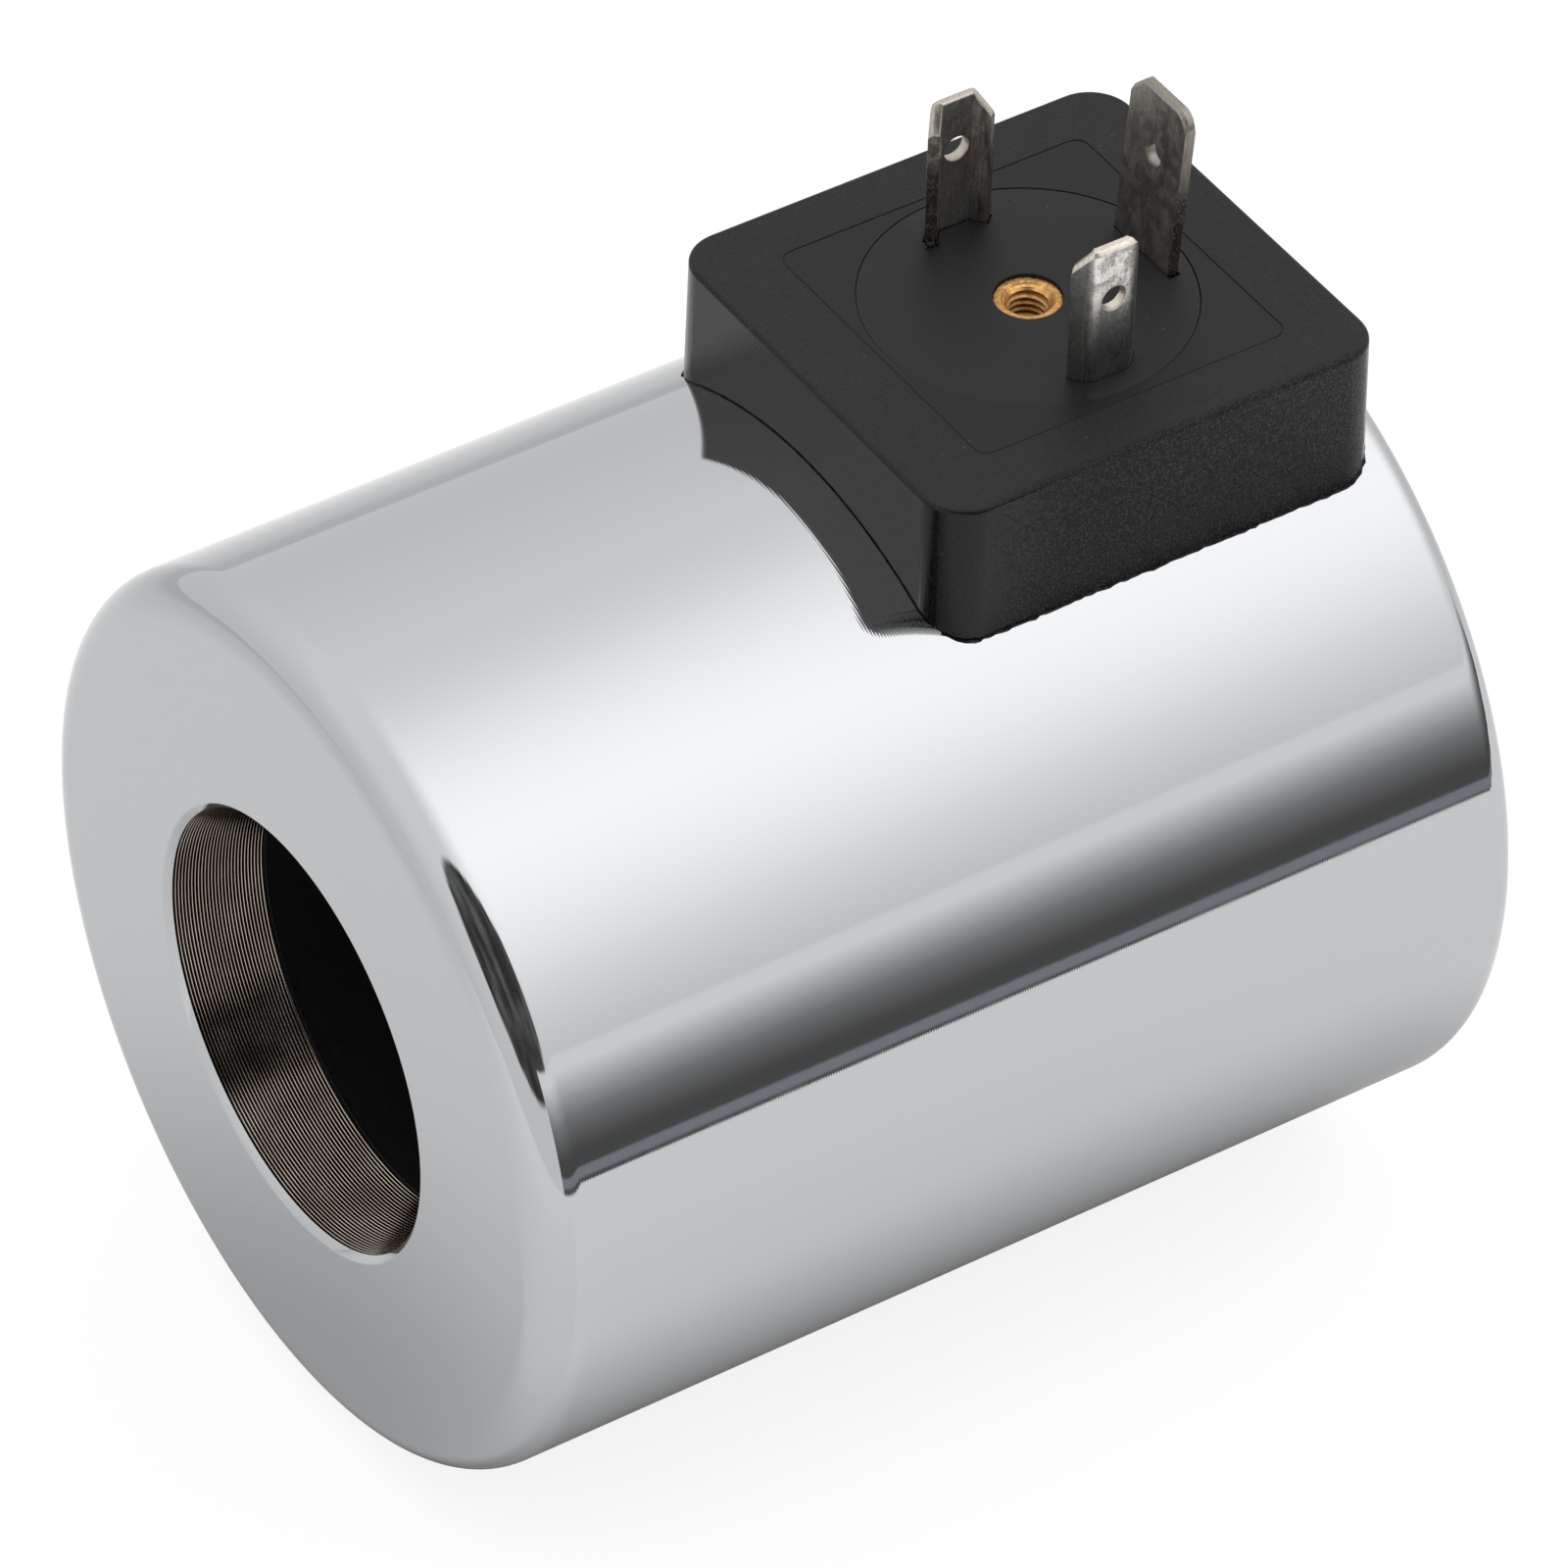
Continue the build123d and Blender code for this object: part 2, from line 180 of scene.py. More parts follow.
world = bpy.data.worlds.new("light_tent")
bpy.context.scene.world = world
world.use_nodes = True
tent = world.node_tree
tent.nodes.clear()
gaze = add_node(tent, "ShaderNodeTexCoord").outputs["Generated"]
height = along(gaze, (0, 0, 1))
cloth = fade(height, 0.0, 0.75, tent_low, tent_high)
past_seam = along(gaze, (0, -seam_slope, 1))
cloth = times(cloth, fade(past_seam, *seam_fade, seam_level, 1.0))
near_lamp = calc("SUBTRACT", along(gaze, lamp_direction.normalized()), lamp_reach)
near_lamp = calc("MAXIMUM", calc("DIVIDE", near_lamp, 1 - lamp_reach), 0.0)
cloth = calc("ADD", cloth, times(calc("POWER", near_lamp, 2.0), lamp_level))
opening_middle = toward(opening_azimuth, opening_elevation)
opening_side = Vector((math.cos(opening_azimuth), math.sin(opening_azimuth), 0))
opening_up = opening_middle.cross(opening_side)
across = calc("DIVIDE", along(gaze, opening_side), opening_half_width)
upward = calc("DIVIDE", along(gaze, opening_up), opening_half_height)
reach = long_side(across, upward)
in_opening = fade(reach, *opening_edge, 1.0, 0.0)
ahead = fade(along(gaze, opening_middle), 0.3, 0.4)
in_opening = times(in_opening, ahead)
depths = noise(gaze, 3.5, 3.0)
opening_shade = fade(depths, 0.35, 0.7, opening_level * 0.45, opening_level * 1.7)
level = blend(in_opening, cloth, opening_shade)
gap_height = fade(height, -gap_half_height, gap_half_height)
gap_height.node.interpolation_type = "LINEAR"
gap_shade = shades(
    gap_height,
    (0.10, 0.90), (0.12, 0.11), (0.15, 0.11), (0.165, (0.265, 0.285, 0.31)), (0.225, (0.27, 0.29, 0.315)),
    (0.24, 0.10), (0.31, 0.094), (0.365, 0.106), (0.47, 0.174), (0.575, 0.266), (0.68, 0.456), (0.782, 0.71),
    (0.882, 1.0),
)
from_start = along(gaze, (math.cos(gap_start), math.sin(gap_start), 0))
from_end = along(gaze, (-math.cos(gap_end), -math.sin(gap_end), 0))
in_gap = times(fade(from_start, 0, gap_softness), fade(from_end, 0, gap_softness))
near_table = times(fade(height, *table_low), fade(height, *table_high))
in_gap = times(in_gap, near_table)
level = mix(in_gap, level, gap_shade)
tent_light = add_node(tent, "ShaderNodeBackground", {"Color": level})
plain_white = add_node(tent, "ShaderNodeBackground", {"Color": (1, 1, 1, 1), "Strength": 1.0})
seen = add_node(tent, "ShaderNodeLightPath").outputs["Is Camera Ray"]
sky = add_node(tent, "ShaderNodeMixShader", {0: seen, 1: tent_light.outputs[0], 2: plain_white.outputs[0]})
add_node(tent, "ShaderNodeOutputWorld", {"Surface": sky.outputs[0]})

# Table: a pale board that the coil lies on. It keeps the coil's soft shadow, partly cast and partly painted
# into its glow, and runs out to plain white.
board_size = (1300, 990)
board_middle = (50, 305)
board_top = -31.26
board_near, board_far = 62, 210
shadow_near, shadow_far = 8, 50
coil_middle, coil_half = 38, 37.6
front_start, front_end = -34, -41


def primitive(add, place, name="tool", stretch=(1, 1, 1), **shape):
    """Adds a plain shape at a place in metres, and makes its stretch and turn its own."""
    bpy.ops.object.select_all(action="DESELECT")
    add(location=place, **shape)
    piece = bpy.context.object
    piece.name = piece.data.name = name
    piece.scale = stretch
    bpy.ops.object.transform_apply()
    return piece


def slab(name, length, width, place):
    """A flat rectangle, in millimetres, that lies at a place in metres."""
    add_plane, stretch = bpy.ops.mesh.primitive_plane_add, (length * mm, width * mm, 1)
    return primitive(add_plane, place, name, stretch, size=1)


board = slab("table_board", *board_size, (board_middle[0] * mm, board_middle[1] * mm, board_top * mm))
paint = bpy.data.materials.new("table_board")
paint.use_nodes = True
tree = paint.node_tree
tree.nodes.clear()
place = add_node(tree, "ShaderNodeTexCoord").outputs["Object"]
centring = {"Vector": place, "Location": (-coil_middle * mm, 0, 0)}
centred = add_node(tree, "ShaderNodeMapping", centring).outputs[0]
spread = vector_calc("LENGTH", centred)
far = fade(spread, board_near * mm, board_far * mm)
parts = add_node(tree, "ShaderNodeSeparateXYZ", {0: centred}).outputs
past_end = calc("SUBTRACT", calc("ABSOLUTE", parts["X"]), coil_half * mm)
past_end = times(calc("MAXIMUM", past_end, 0.0), 2.0)
from_coil = long_side(past_end, parts["Y"])
# Painted shadow: for all but camera rays the board's glow is painted lower near the coil, a little less so in
# front of it, and lower towards the back, a painted falloff of light.
in_front = fade(parts["X"], front_start * mm, front_end * mm)
glow_near, glow_far = fade(in_front, 0, 1, 0.0, 0.22), fade(in_front, 0, 1, 0.5, 0.44)
glow_with_painted_shadow = fade(from_coil, shadow_near * mm, shadow_far * mm, glow_near, glow_far)
painted_falloff_to_back = fade(parts["Y"], -100 * mm, 100 * mm, 0.97, 0.78)
painted_falloff_to_back = times(painted_falloff_to_back, fade(parts["Y"], 150 * mm, 420 * mm, 1.0, 0.82))
sheen = noise(place, 900.0, 2.0)
seen = add_node(tree, "ShaderNodeLightPath").outputs["Is Camera Ray"]
ways = []
for albedo, glow, last in ((0.50, glow_with_painted_shadow, painted_falloff_to_back), (0.25, 0.84, 1.0)):
    own = times(calc("SUBTRACT", 1.0, far), fade(sheen, 0.3, 0.7, albedo * 0.99, albedo))
    matt = add_node(tree, "ShaderNodeBsdfDiffuse", {"Color": own})
    strength = blend(far, glow, last)
    lit = add_node(tree, "ShaderNodeEmission", {"Color": (1, 1, 1, 1), "Strength": strength})
    ways.append(add_node(tree, "ShaderNodeAddShader", {0: matt.outputs[0], 1: lit.outputs[0]}).outputs[0])
mixed = add_node(tree, "ShaderNodeMixShader", {0: seen, 1: ways[0], 2: ways[1]})
add_node(tree, "ShaderNodeOutputMaterial", {"Surface": mixed.outputs[0]})
board.data.materials.append(paint)

# Casing: turned from one steel bar with a thick front wall, a rounded front edge and a window for the
# plug's neck, then polished and chrome plated. Its bore keeps the tool's feed grooves.
casing_length = 75.3
casing_radius = 31.25
casing_front_edge = 3.1
casing_rear_edge = 1.9
edge_spare = 0.1
cavity_radius = 26.65
front_wall = 7.4
plate_seat = 68.7
plate_radius = 27.35
bore_radius = 15.5
mouth_chamfer = 0.45
mouth_land = 0.15
groove_count = 27
groove_depth = 0.06
groove_steps = 5
window_middle = 56.0
window_half = 12.0
window_corner = 3.0
window_spare = 2
window_cut_foot, window_cut_height = 20, 20
plate_rim, mouth_rim, wall_rim = 0.2, 0.07, 0.09
chrome_colour = (0.565, 0.575, 0.588, 1)
chrome_feed = 0.19
chrome_tilt = 0.010
ring_steps = 256


def turn(name, stations, steps, upright=None, closed=True):
    """Draws a ring from station to station (place on the axis, radius), as a lathe's tool goes round the
    piece, in millimetres. upright is the x of a standing axis; without it the axis is the bore's."""
    def on_axis(place):
        return Vector((place, 0, 0) if upright is None else (upright, 0, place)) * mm

    place, radius = stations[0]
    tilt = (0, math.pi / 2, 0) if upright is None else (0, 0, 0)
    add_ring, size = bpy.ops.mesh.primitive_circle_add, radius * mm
    piece = primitive(add_ring, on_axis(place), name, vertices=steps, radius=size, rotation=tilt)
    bpy.ops.object.mode_set(mode="EDIT")
    bpy.ops.mesh.select_all(action="SELECT")
    for next_place, next_radius in stations[1:] + (stations[:1] if closed else []):
        step = on_axis(next_place) - on_axis(place)
        grow = next_radius / radius
        bpy.ops.mesh.extrude_region_move(TRANSFORM_OT_translate={"value": step})
        size = (1, grow, grow) if upright is None else (grow, grow, 1)
        bpy.ops.transform.resize(value=size, center_override=on_axis(next_place))
        place, radius = next_place, next_radius
    if not closed:
        bpy.ops.mesh.edge_face_add()
        first_place, first_radius = stations[0]
        pick(piece, "EDGE", lambda point: near_ring(point, first_place, first_radius, upright))
        bpy.ops.mesh.edge_face_add()
    bpy.ops.mesh.select_all(action="SELECT")
    bpy.ops.mesh.remove_doubles(threshold=0.002 * mm)
    bpy.ops.mesh.normals_make_consistent(inside=False)
    bpy.ops.object.mode_set(mode="OBJECT")
    return piece


def near_ring(point, place, radius, upright=None):
    """Whether a point lies on the ring at that place on the axis."""
    if upright is None:
        ahead, reach = point.x, math.hypot(point.y, point.z)
    else:
        ahead, reach = point.z, math.hypot(point.x - upright * mm, point.y)
    return abs(ahead - place * mm) < 0.008 * mm and abs(reach - radius * mm) < 0.008 * mm


def pick(piece, kind, test):
    """Selects the vertices, edges or faces of a piece in edit mode whose corners all pass the test."""
    bpy.ops.mesh.select_mode(type=kind)
    bpy.ops.mesh.select_all(action="DESELECT")
    shape = bmesh.from_edit_mesh(piece.data)
    for item in {"VERT": shape.verts, "EDGE": shape.edges, "FACE": shape.faces}[kind]:
        corners = [item] if kind == "VERT" else item.verts
        if all(test(corner.co) for corner in corners):
            item.select_set(True)
    bmesh.update_edit_mesh(piece.data)


def alone(piece):
    """Leaves edit mode and makes a piece the only one selected, and the active one."""
    if bpy.context.mode != "OBJECT":
        bpy.ops.object.mode_set(mode="OBJECT")
    bpy.ops.object.select_all(action="DESELECT")
    piece.select_set(True)
    bpy.context.view_layer.objects.active = piece


def in_edit(piece, kind=None, test=None):
    """Goes into edit mode on a piece, with its parts that pass the test selected, or all of it."""
    alone(piece)
    bpy.ops.object.mode_set(mode="EDIT")
    if test is None:
        bpy.ops.mesh.select_all(action="SELECT")
    else:
        pick(piece, kind, test)


def out_of_edit(tidy=True):
    """Merges what coincides, turns the faces outwards and leaves edit mode."""
    if tidy:
        bpy.ops.mesh.select_all(action="SELECT")
        bpy.ops.mesh.remove_doubles(threshold=0.001 * mm)
        bpy.ops.mesh.normals_make_consistent(inside=False)
    bpy.ops.object.mode_set(mode="OBJECT")


def bevel(size, segments=1, kind="EDGES"):
    """Bevels what is selected by a size in millimetres."""
    bpy.ops.mesh.bevel(offset=size * mm, segments=segments, affect=kind, clamp_overlap=False)


def round_rim(piece, place, radius, size, segments, upright=None):
    """Rounds the rim at a ring of a turned piece, or breaks it where there is one segment."""
    in_edit(piece, "EDGE", lambda point: near_ring(point, place, radius, upright))
    bevel(size, segments)
    out_of_edit(tidy=False)


def modify(piece, kind, **settings):
    """Applies one of Blender's modifiers to a piece."""
    change = piece.modifiers.new("change", kind)
    for name, value in settings.items():
        setattr(change, name, value)
    bpy.context.view_layer.objects.active = piece
    bpy.ops.object.modifier_apply(modifier=change.name)


def join_or_cut(piece, tool, operation):
    """Joins the tool's shape to the piece, cuts it away or keeps what they share, and drops the tool."""
    modify(piece, "BOOLEAN", object=tool, operation=operation, solver="EXACT")
    bpy.data.objects.remove(tool)


def smooth(piece, angle=35):
    """Shades a piece smooth, with its edges over the angle kept sharp and its broad faces kept flat."""
    alone(piece)
    bpy.ops.object.shade_smooth_by_angle(angle=math.radians(angle))
    modify(piece, "WEIGHTED_NORMAL", keep_sharp=True)


def rounded_plate(name, length, width, corner, height, middle, corner_steps):
    """A flat outline with rounded corners, in millimetres."""
    plate = slab(name, length, width, (middle * mm, 0, height * mm))
    in_edit(plate)
    bevel(corner, corner_steps, "VERTICES")
    out_of_edit(tidy=False)
    return plate


def push(step, size=(1, 1, 1), pivot=(0, 0, 0)):
    """Extrudes what is selected by a step in millimetres, then resizes it about a pivot."""
    bpy.ops.mesh.extrude_region_move(TRANSFORM_OT_translate={"value": Vector(step) * mm})
    if size != (1, 1, 1):
        bpy.ops.transform.resize(value=size, center_override=Vector(pivot) * mm)


groove_pitch = (front_wall - mouth_chamfer - mouth_land) / groove_count
casing_stations = [
    (0, bore_radius + mouth_chamfer),
    (0, casing_radius - casing_front_edge - edge_spare),
    (0, casing_radius),
    (casing_front_edge + edge_spare, casing_radius),
    (window_middle - window_half - window_spare, casing_radius),
    (window_middle + window_half + window_spare, casing_radius),
    (casing_length - casing_rear_edge - edge_spare, casing_radius),
    (casing_length, casing_radius),
    (casing_length, casing_radius - casing_rear_edge - edge_spare),
    (casing_length, plate_radius),
    (plate_seat, plate_radius),
    (plate_seat, cavity_radius),
    (front_wall, cavity_radius),
    (front_wall, bore_radius),
    (front_wall - mouth_land, bore_radius),
]
for groove in range(groove_count):
    for step in range(1, groove_steps + 1):
        share = step / groove_steps
        hollow = groove_depth * (1 - (2 * share - 1) ** 2)
        groove_place = front_wall - mouth_land - (groove + share) * groove_pitch
        casing_stations.append((groove_place, bore_radius + hollow))
chromed_casing = turn("chromed_casing", casing_stations, ring_steps)
round_rim(chromed_casing, 0, casing_radius, casing_front_edge, 24)
round_rim(chromed_casing, casing_length, casing_radius, casing_rear_edge, 16)
round_rim(chromed_casing, casing_length, plate_radius, plate_rim, 3)
round_rim(chromed_casing, 0, bore_radius + mouth_chamfer, mouth_rim, 2)
round_rim(chromed_casing, front_wall, bore_radius, wall_rim, 2)
window_outline = (2 * window_half, 2 * window_half, window_corner)
window_tool = rounded_plate("window_tool", *window_outline, window_cut_foot, window_middle, 8)
in_edit(window_tool)
push((0, 0, window_cut_height))
out_of_edit()
join_or_cut(chromed_casing, window_tool, "DIFFERENCE")

# Marks that a lathe's tool leaves: each turn's ridge tilts the surface to and fro along the feed, some
# turns and places more than others. Ridge is high on a turn's crest, and Haze tells the dull patches.


def new_group(name, inputs, outputs):
    """Starts a group of nodes with inputs and outputs of these names, and gives it with its inputs."""
    group = bpy.data.node_groups.new(name, "ShaderNodeTree")
    for way, sockets in (("INPUT", inputs), ("OUTPUT", outputs)):
        for socket in sockets:
            kind = "Vector" if socket in ("Vector", "Along", "Normal") else "Float"
            group.interface.new_socket(socket, in_out=way, socket_type="NodeSocket" + kind)
    return group, add_node(group, "NodeGroupInput").outputs


feed_inputs, feed_outputs = ("Vector", "Feed", "Pitch", "Tilt", "Along"), ("Normal", "Ridge", "Haze")
feed_marks, given = new_group("feed_marks", feed_inputs, feed_outputs)
turns = calc("DIVIDE", given["Feed"], given["Pitch"])
phase = times(turns, 2 * math.pi)
per_turn = {"W": turns, "Scale": 0.9, "Detail": 1.0}
tooth = add_node(feed_marks, "ShaderNodeTexNoise", per_turn, noise_dimensions="1D")
patch = noise(given["Vector"], 150.0, 3.0)
depth = times(fade(patch, 0.3, 0.7, 0.7, 1.1), fade(tooth.outputs["Fac"], 0.3, 0.7, 0.85, 1.15))
lean = times(times(calc("COSINE", phase), depth), given["Tilt"])
spaces = {"vector_type": "NORMAL", "convert_from": "OBJECT", "convert_to": "WORLD"}
feed_way = add_node(feed_marks, "ShaderNodeVectorTransform", {0: given["Along"]}, **spaces).outputs[0]
leaning = vector_calc("SCALE", feed_way, lean)
plain = add_node(feed_marks, "ShaderNodeNewGeometry").outputs["Normal"]
leant = vector_calc("NORMALIZE", vector_calc("ADD", plain, leaning))
ridge = calc("MULTIPLY_ADD", calc("SINE", phase), 0.5, 0.5)
haze = noise(given["Vector"], 420.0, 4.0)
add_node(feed_marks, "NodeGroupOutput", {"Normal": leant, "Ridge": ridge, "Haze": haze})


def new_material(name):
    """A material with a shader, the place on the piece and its parts, ready to be wired."""
    material = bpy.data.materials.new(name)
    material.use_nodes = True
    tree = material.node_tree
    tree.nodes.clear()
    place = add_node(tree, "ShaderNodeTexCoord").outputs["Object"]
    parts = add_node(tree, "ShaderNodeSeparateXYZ", {0: place}).outputs
    shader = add_node(tree, "ShaderNodeBsdfPrincipled")
    add_node(tree, "ShaderNodeOutputMaterial", {"Surface": shader.outputs[0]})
    return material, place, parts, shader


def use_group(group, place, **inputs):
    """Places a group of nodes in a material with its own values."""
    return add_node(place.id_data, "ShaderNodeGroup", {"Vector": place, **inputs}, node_tree=group).outputs


def raise_marks(shader, height, distance):
    """Feeds a height, in metres at full height, to the shader's normal, over what is there already."""
    bump = add_node(shader.id_data, "ShaderNodeBump", {"Height": height, "Distance": distance})
    if shader.inputs["Normal"].is_linked:
        feed(bump, {"Normal": shader.inputs["Normal"].links[0].from_socket})
    feed(shader, {"Normal": bump.outputs[0]})


def from_line(place, middle=(0, 0, 0), across=(0, 1, 1)):
    """How far a place is from a line and which way, by the line's middle and the axes across it."""
    inputs = {"Vector": place, "Location": -Vector(middle), "Scale": across}
    centred = add_node(place.id_data, "ShaderNodeMapping", inputs).outputs[0]
    return vector_calc("LENGTH", centred), vector_calc("NORMALIZE", centred)


def clad(piece, *materials):
    """Gives a piece these materials, in place of any that it has."""
    piece.data.materials.clear()
    for material in materials:
        piece.data.materials.append(material)


chrome, place, parts, shader = new_material("casing_chrome")
on_face = fade(parts["X"], 0.02 * mm, 0.01 * mm)
reach, outward = from_line(place)
feed_place = blend(on_face, parts["X"], reach)
either_way = {0: on_face, 4: (1, 0, 0), 5: outward}
way = add_node(place.id_data, "ShaderNodeMix", either_way, data_type="VECTOR").outputs[1]
tilt = fade(on_face, 0, 1, chrome_tilt, chrome_tilt * 0.25)
marks = use_group(feed_marks, place, Feed=feed_place, Pitch=chrome_feed * mm, Tilt=tilt, Along=way)
roughness = fade(marks["Haze"], 0.35, 0.75, 0.03, 0.055)
feed(shader, {"Base Color": chrome_colour, "Metallic": 1, "Roughness": roughness, "Normal": marks["Normal"]})
swell = noise(place, 160.0, 1.0)
raise_marks(shader, swell, 0.004 * mm)
bore_steel, place, parts, shader = new_material("bore_steel")
reach, outward = from_line(place)
# Painted shade: the valleys of the bore's grooves are painted near black, as shade in the hollows, and the
# crests keep the steel's own colour.
groove_painted_shade = fade(reach, (bore_radius + 0.004) * mm, (bore_radius + 0.6 * groove_depth) * mm)
stain = noise(place, 260.0, 5.0)
crest = shades(stain, (0.35, (0.72, 0.60, 0.49)), (0.65, (0.95, 0.84, 0.73)))
valley_painted_shade = shades(stain, (0.35, (0.014, 0.010, 0.008)), (0.65, (0.05, 0.037, 0.031)))
painted_shade_and_wear = mix(groove_painted_shade, crest, valley_painted_shade)
feed(shader, {"Base Color": painted_shade_and_wear, "Metallic": 1, "Roughness": fade(stain, 0.35, 0.75, 0.10, 0.20)})
clad(chromed_casing, chrome, bore_steel)
for face in chromed_casing.data.polygons:
    past_mouth = face.center.x > (mouth_chamfer + 0.02) * mm
    in_bore = math.hypot(face.center.y, face.center.z) < (bore_radius + 1.2 * groove_depth) * mm
    face.material_index = int(past_mouth and in_bore)
smooth(chromed_casing)
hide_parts("casing")
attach(chromed_casing, "root")

# Plug base: black glass-filled plastic, shot round the winding and up through the casing's window. Its
# block stands on the casing like a saddle, and the mould's insert leaves a fine step round a square.
base_top = 37.4
base_length = 34.0
base_width = 32.4
base_corner = 3.1
base_draft = math.tan(math.radians(0.8))
base_skirt = 15.4
base_edge = 0.3
corner_steps = 14
witness_half = 11.9
witness_shift = 0.3
witness_corner = 0.95
witness_step = 0.03
trench_width, trench_depth, trench_shift, trench_wave = 0.09, 0.06, 0.10, 0.02
trench_cuts = 40
root_depth = 2
joint_air, joint_shift, joint_wave, joint_depth = 0.06, 0.04, 0.012, 20
crack_air, crack_shift, crack_wave, crack_end = 0.145, 0.07, 0.03, 39.3
flash_radius, flash_wave, flash_lift, flash_step = 0.13, 0.10, 0.04, 0.3
flash_side = 15.9
rim_share = 0.42
neck_gap = 0.05
carrier_radius = 11.1
tool_length, tool_middle = 0.12, (0.04, 0, 0)


def join(first, *others):
    """Joins pieces into the first."""
    bpy.ops.object.select_all(action="DESELECT")
    for piece in (first, *others):
        piece.select_set(True)
    bpy.context.view_layer.objects.active = first
    bpy.ops.object.join()
    return first


def at_height(height):
    """A test for points at a height, in millimetres."""
    return lambda point: abs(point.z - height * mm) < 0.004 * mm


def ragged(size, height):
    """Moves what is selected at random by up to a size, and lays it flat at a height."""
    bpy.ops.transform.vertex_random(offset=size * mm, uniform=0.0, seed=7)
    bpy.ops.transform.resize(value=(1, 1, 0), center_override=(0, 0, height * mm))
    bpy.ops.mesh.select_all(action="SELECT")


border_top = base_top - witness_step
base_outline = (base_length, base_width, base_corner)
plug_base = rounded_plate("plug_base", *base_outline, border_top, window_middle, corner_steps)
in_edit(plug_base)
longer, wider = (1 + 2 * base_draft * base_skirt / size for size in (base_length, base_width))
push((0, 0, -base_skirt), (longer, wider, 1), (window_middle, 0, border_top - base_skirt))
pick(plug_base, "EDGE", at_height(border_top))
bevel(base_edge, 4)
out_of_edit()

# The mould's insert leaves a square a hair higher than the border, with a shallow, ragged trench round it.
witness_middle = window_middle + witness_shift
for half, shift, low, high, operation in (
    (witness_half, trench_shift, border_top - trench_depth, base_top + 1, "DIFFERENCE"),
    (witness_half - trench_width, 0, border_top - root_depth, base_top, "UNION"),
):
    middle = witness_middle + shift
    witness = rounded_plate("witness", 2 * half, 2 * half, witness_corner, low, middle, 6)
    on_outline = lambda point: max(abs(point.x - middle * mm), abs(point.y)) > (half - 0.01) * mm
    in_edit(witness, "EDGE", on_outline)
    bpy.ops.mesh.subdivide(number_cuts=trench_cuts)
    ragged(trench_wave, low)
    bpy.ops.transform.translate(value=(0, shift * mm, 0))
    push((0, 0, high - low))
    out_of_edit()
    join_or_cut(plug_base, witness, operation)

# The room for the terminal carrier.
joint_middle = Vector((window_middle + joint_shift, joint_shift, base_top + 1)) * mm
disc = {"vertices": ring_steps, "radius": (carrier_radius + joint_air) * mm, "fill_type": "NGON"}
carrier_room = primitive(bpy.ops.mesh.primitive_circle_add, joint_middle, **disc)
in_edit(carrier_room)
ragged(joint_wave, base_top + 1)
push((0, 0, -joint_depth))
out_of_edit()
join_or_cut(plug_base, carrier_room, "DIFFERENCE")


def bar(radius, length, place, tilt=(0, math.pi / 2, 0), sides=ring_steps):
    """A round bar, in metres, that lies along the bore and has the casing's facets, unless told otherwise."""
    shape = {"vertices": sides, "radius": radius, "depth": length, "rotation": tilt}
    return primitive(bpy.ops.mesh.primitive_cylinder_add, place, **shape)


# The saddle, and the crack of air under its front edge.
join_or_cut(plug_base, bar(casing_radius * mm, tool_length, tool_middle), "DIFFERENCE")
crack_middle = Vector((crack_end - 0.5, -crack_shift, 0)) * mm
crack = bar((casing_radius + crack_air) * mm, mm, crack_middle)
in_edit(crack)
bpy.ops.transform.vertex_random(offset=crack_wave * mm, uniform=0.0, seed=5)
out_of_edit()
join_or_cut(plug_base, crack, "DIFFERENCE")

# Flash: the base's lower edge on the casing, taken as a line and given the thickness of a thin, uneven bead.
on_casing = lambda point: abs(math.hypot(point.y, point.z) - casing_radius * mm) < 0.02 * mm
in_edit(plug_base, "EDGE", lambda point: on_casing(point) and point.x > (crack_end + 0.05) * mm)
shape = bmesh.from_edit_mesh(plug_base.data)
shape.normal_update()
for edge in shape.edges:
    if edge.select:
        middle = (edge.verts[0].co + edge.verts[1].co) / 2 / mm
        on_rim = max(abs(middle.x - window_middle) / base_length, abs(middle.y) / base_width) > rim_share
        edge.select_set(on_rim and any(abs(face.normal.z) < 0.1 for face in edge.link_faces))
bmesh.update_edit_mesh(plug_base.data)
bpy.ops.mesh.duplicate()
bpy.ops.mesh.separate(type="SELECTED")
bpy.ops.object.mode_set(mode="OBJECT")
flash = next(piece for piece in bpy.context.selected_objects if piece != plug_base)
in_edit(flash)
bpy.ops.mesh.remove_doubles(threshold=0.02 * mm)
pick(flash, "EDGE", lambda point: abs(point.y) > flash_side * mm)
for cut in range(3):
    bpy.ops.mesh.subdivide(number_cuts=3)
bpy.ops.mesh.select_all(action="SELECT")
bpy.ops.mesh.remove_doubles(threshold=flash_step * mm)
bpy.ops.transform.vertex_random(offset=flash_wave * mm, uniform=0.0, seed=3)
bpy.ops.transform.translate(value=(0, 0, flash_lift * mm))
alone(flash)
bpy.ops.object.convert(target="CURVE")
flash.data.bevel_depth, flash.data.bevel_resolution = flash_radius * mm, 1
flash.data.use_fill_caps = True
bpy.ops.object.convert(target="MESH")
flash = bpy.context.object
in_edit(flash)
out_of_edit()

# The neck through the window and the sleeve round the winding are the solid's own, under the casing's skin.
neck = bpy.data.objects.new("neck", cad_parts["encapsulation"].data.copy())
bpy.context.collection.objects.link(neck)
in_edit(neck)
bpy.ops.mesh.remove_doubles(threshold=0.0005 * mm)
out_of_edit(tidy=False)
join_or_cut(neck, bar((casing_radius - neck_gap) * mm, tool_length, tool_middle), "INTERSECT")

# Grain of a spark-eroded mould, as moulded plastic takes it: fine pits and a few dust specks. The plug
# base, the carrier and the bobbin each have it at their own size.


def dots(vector, scale):
    """How far the nearest of a cloud of random dots is, with so many dots to the metre."""
    made = add_node(vector.id_data, "ShaderNodeTexVoronoi", {"Vector": vector, "Scale": scale})
    return made.outputs["Distance"]


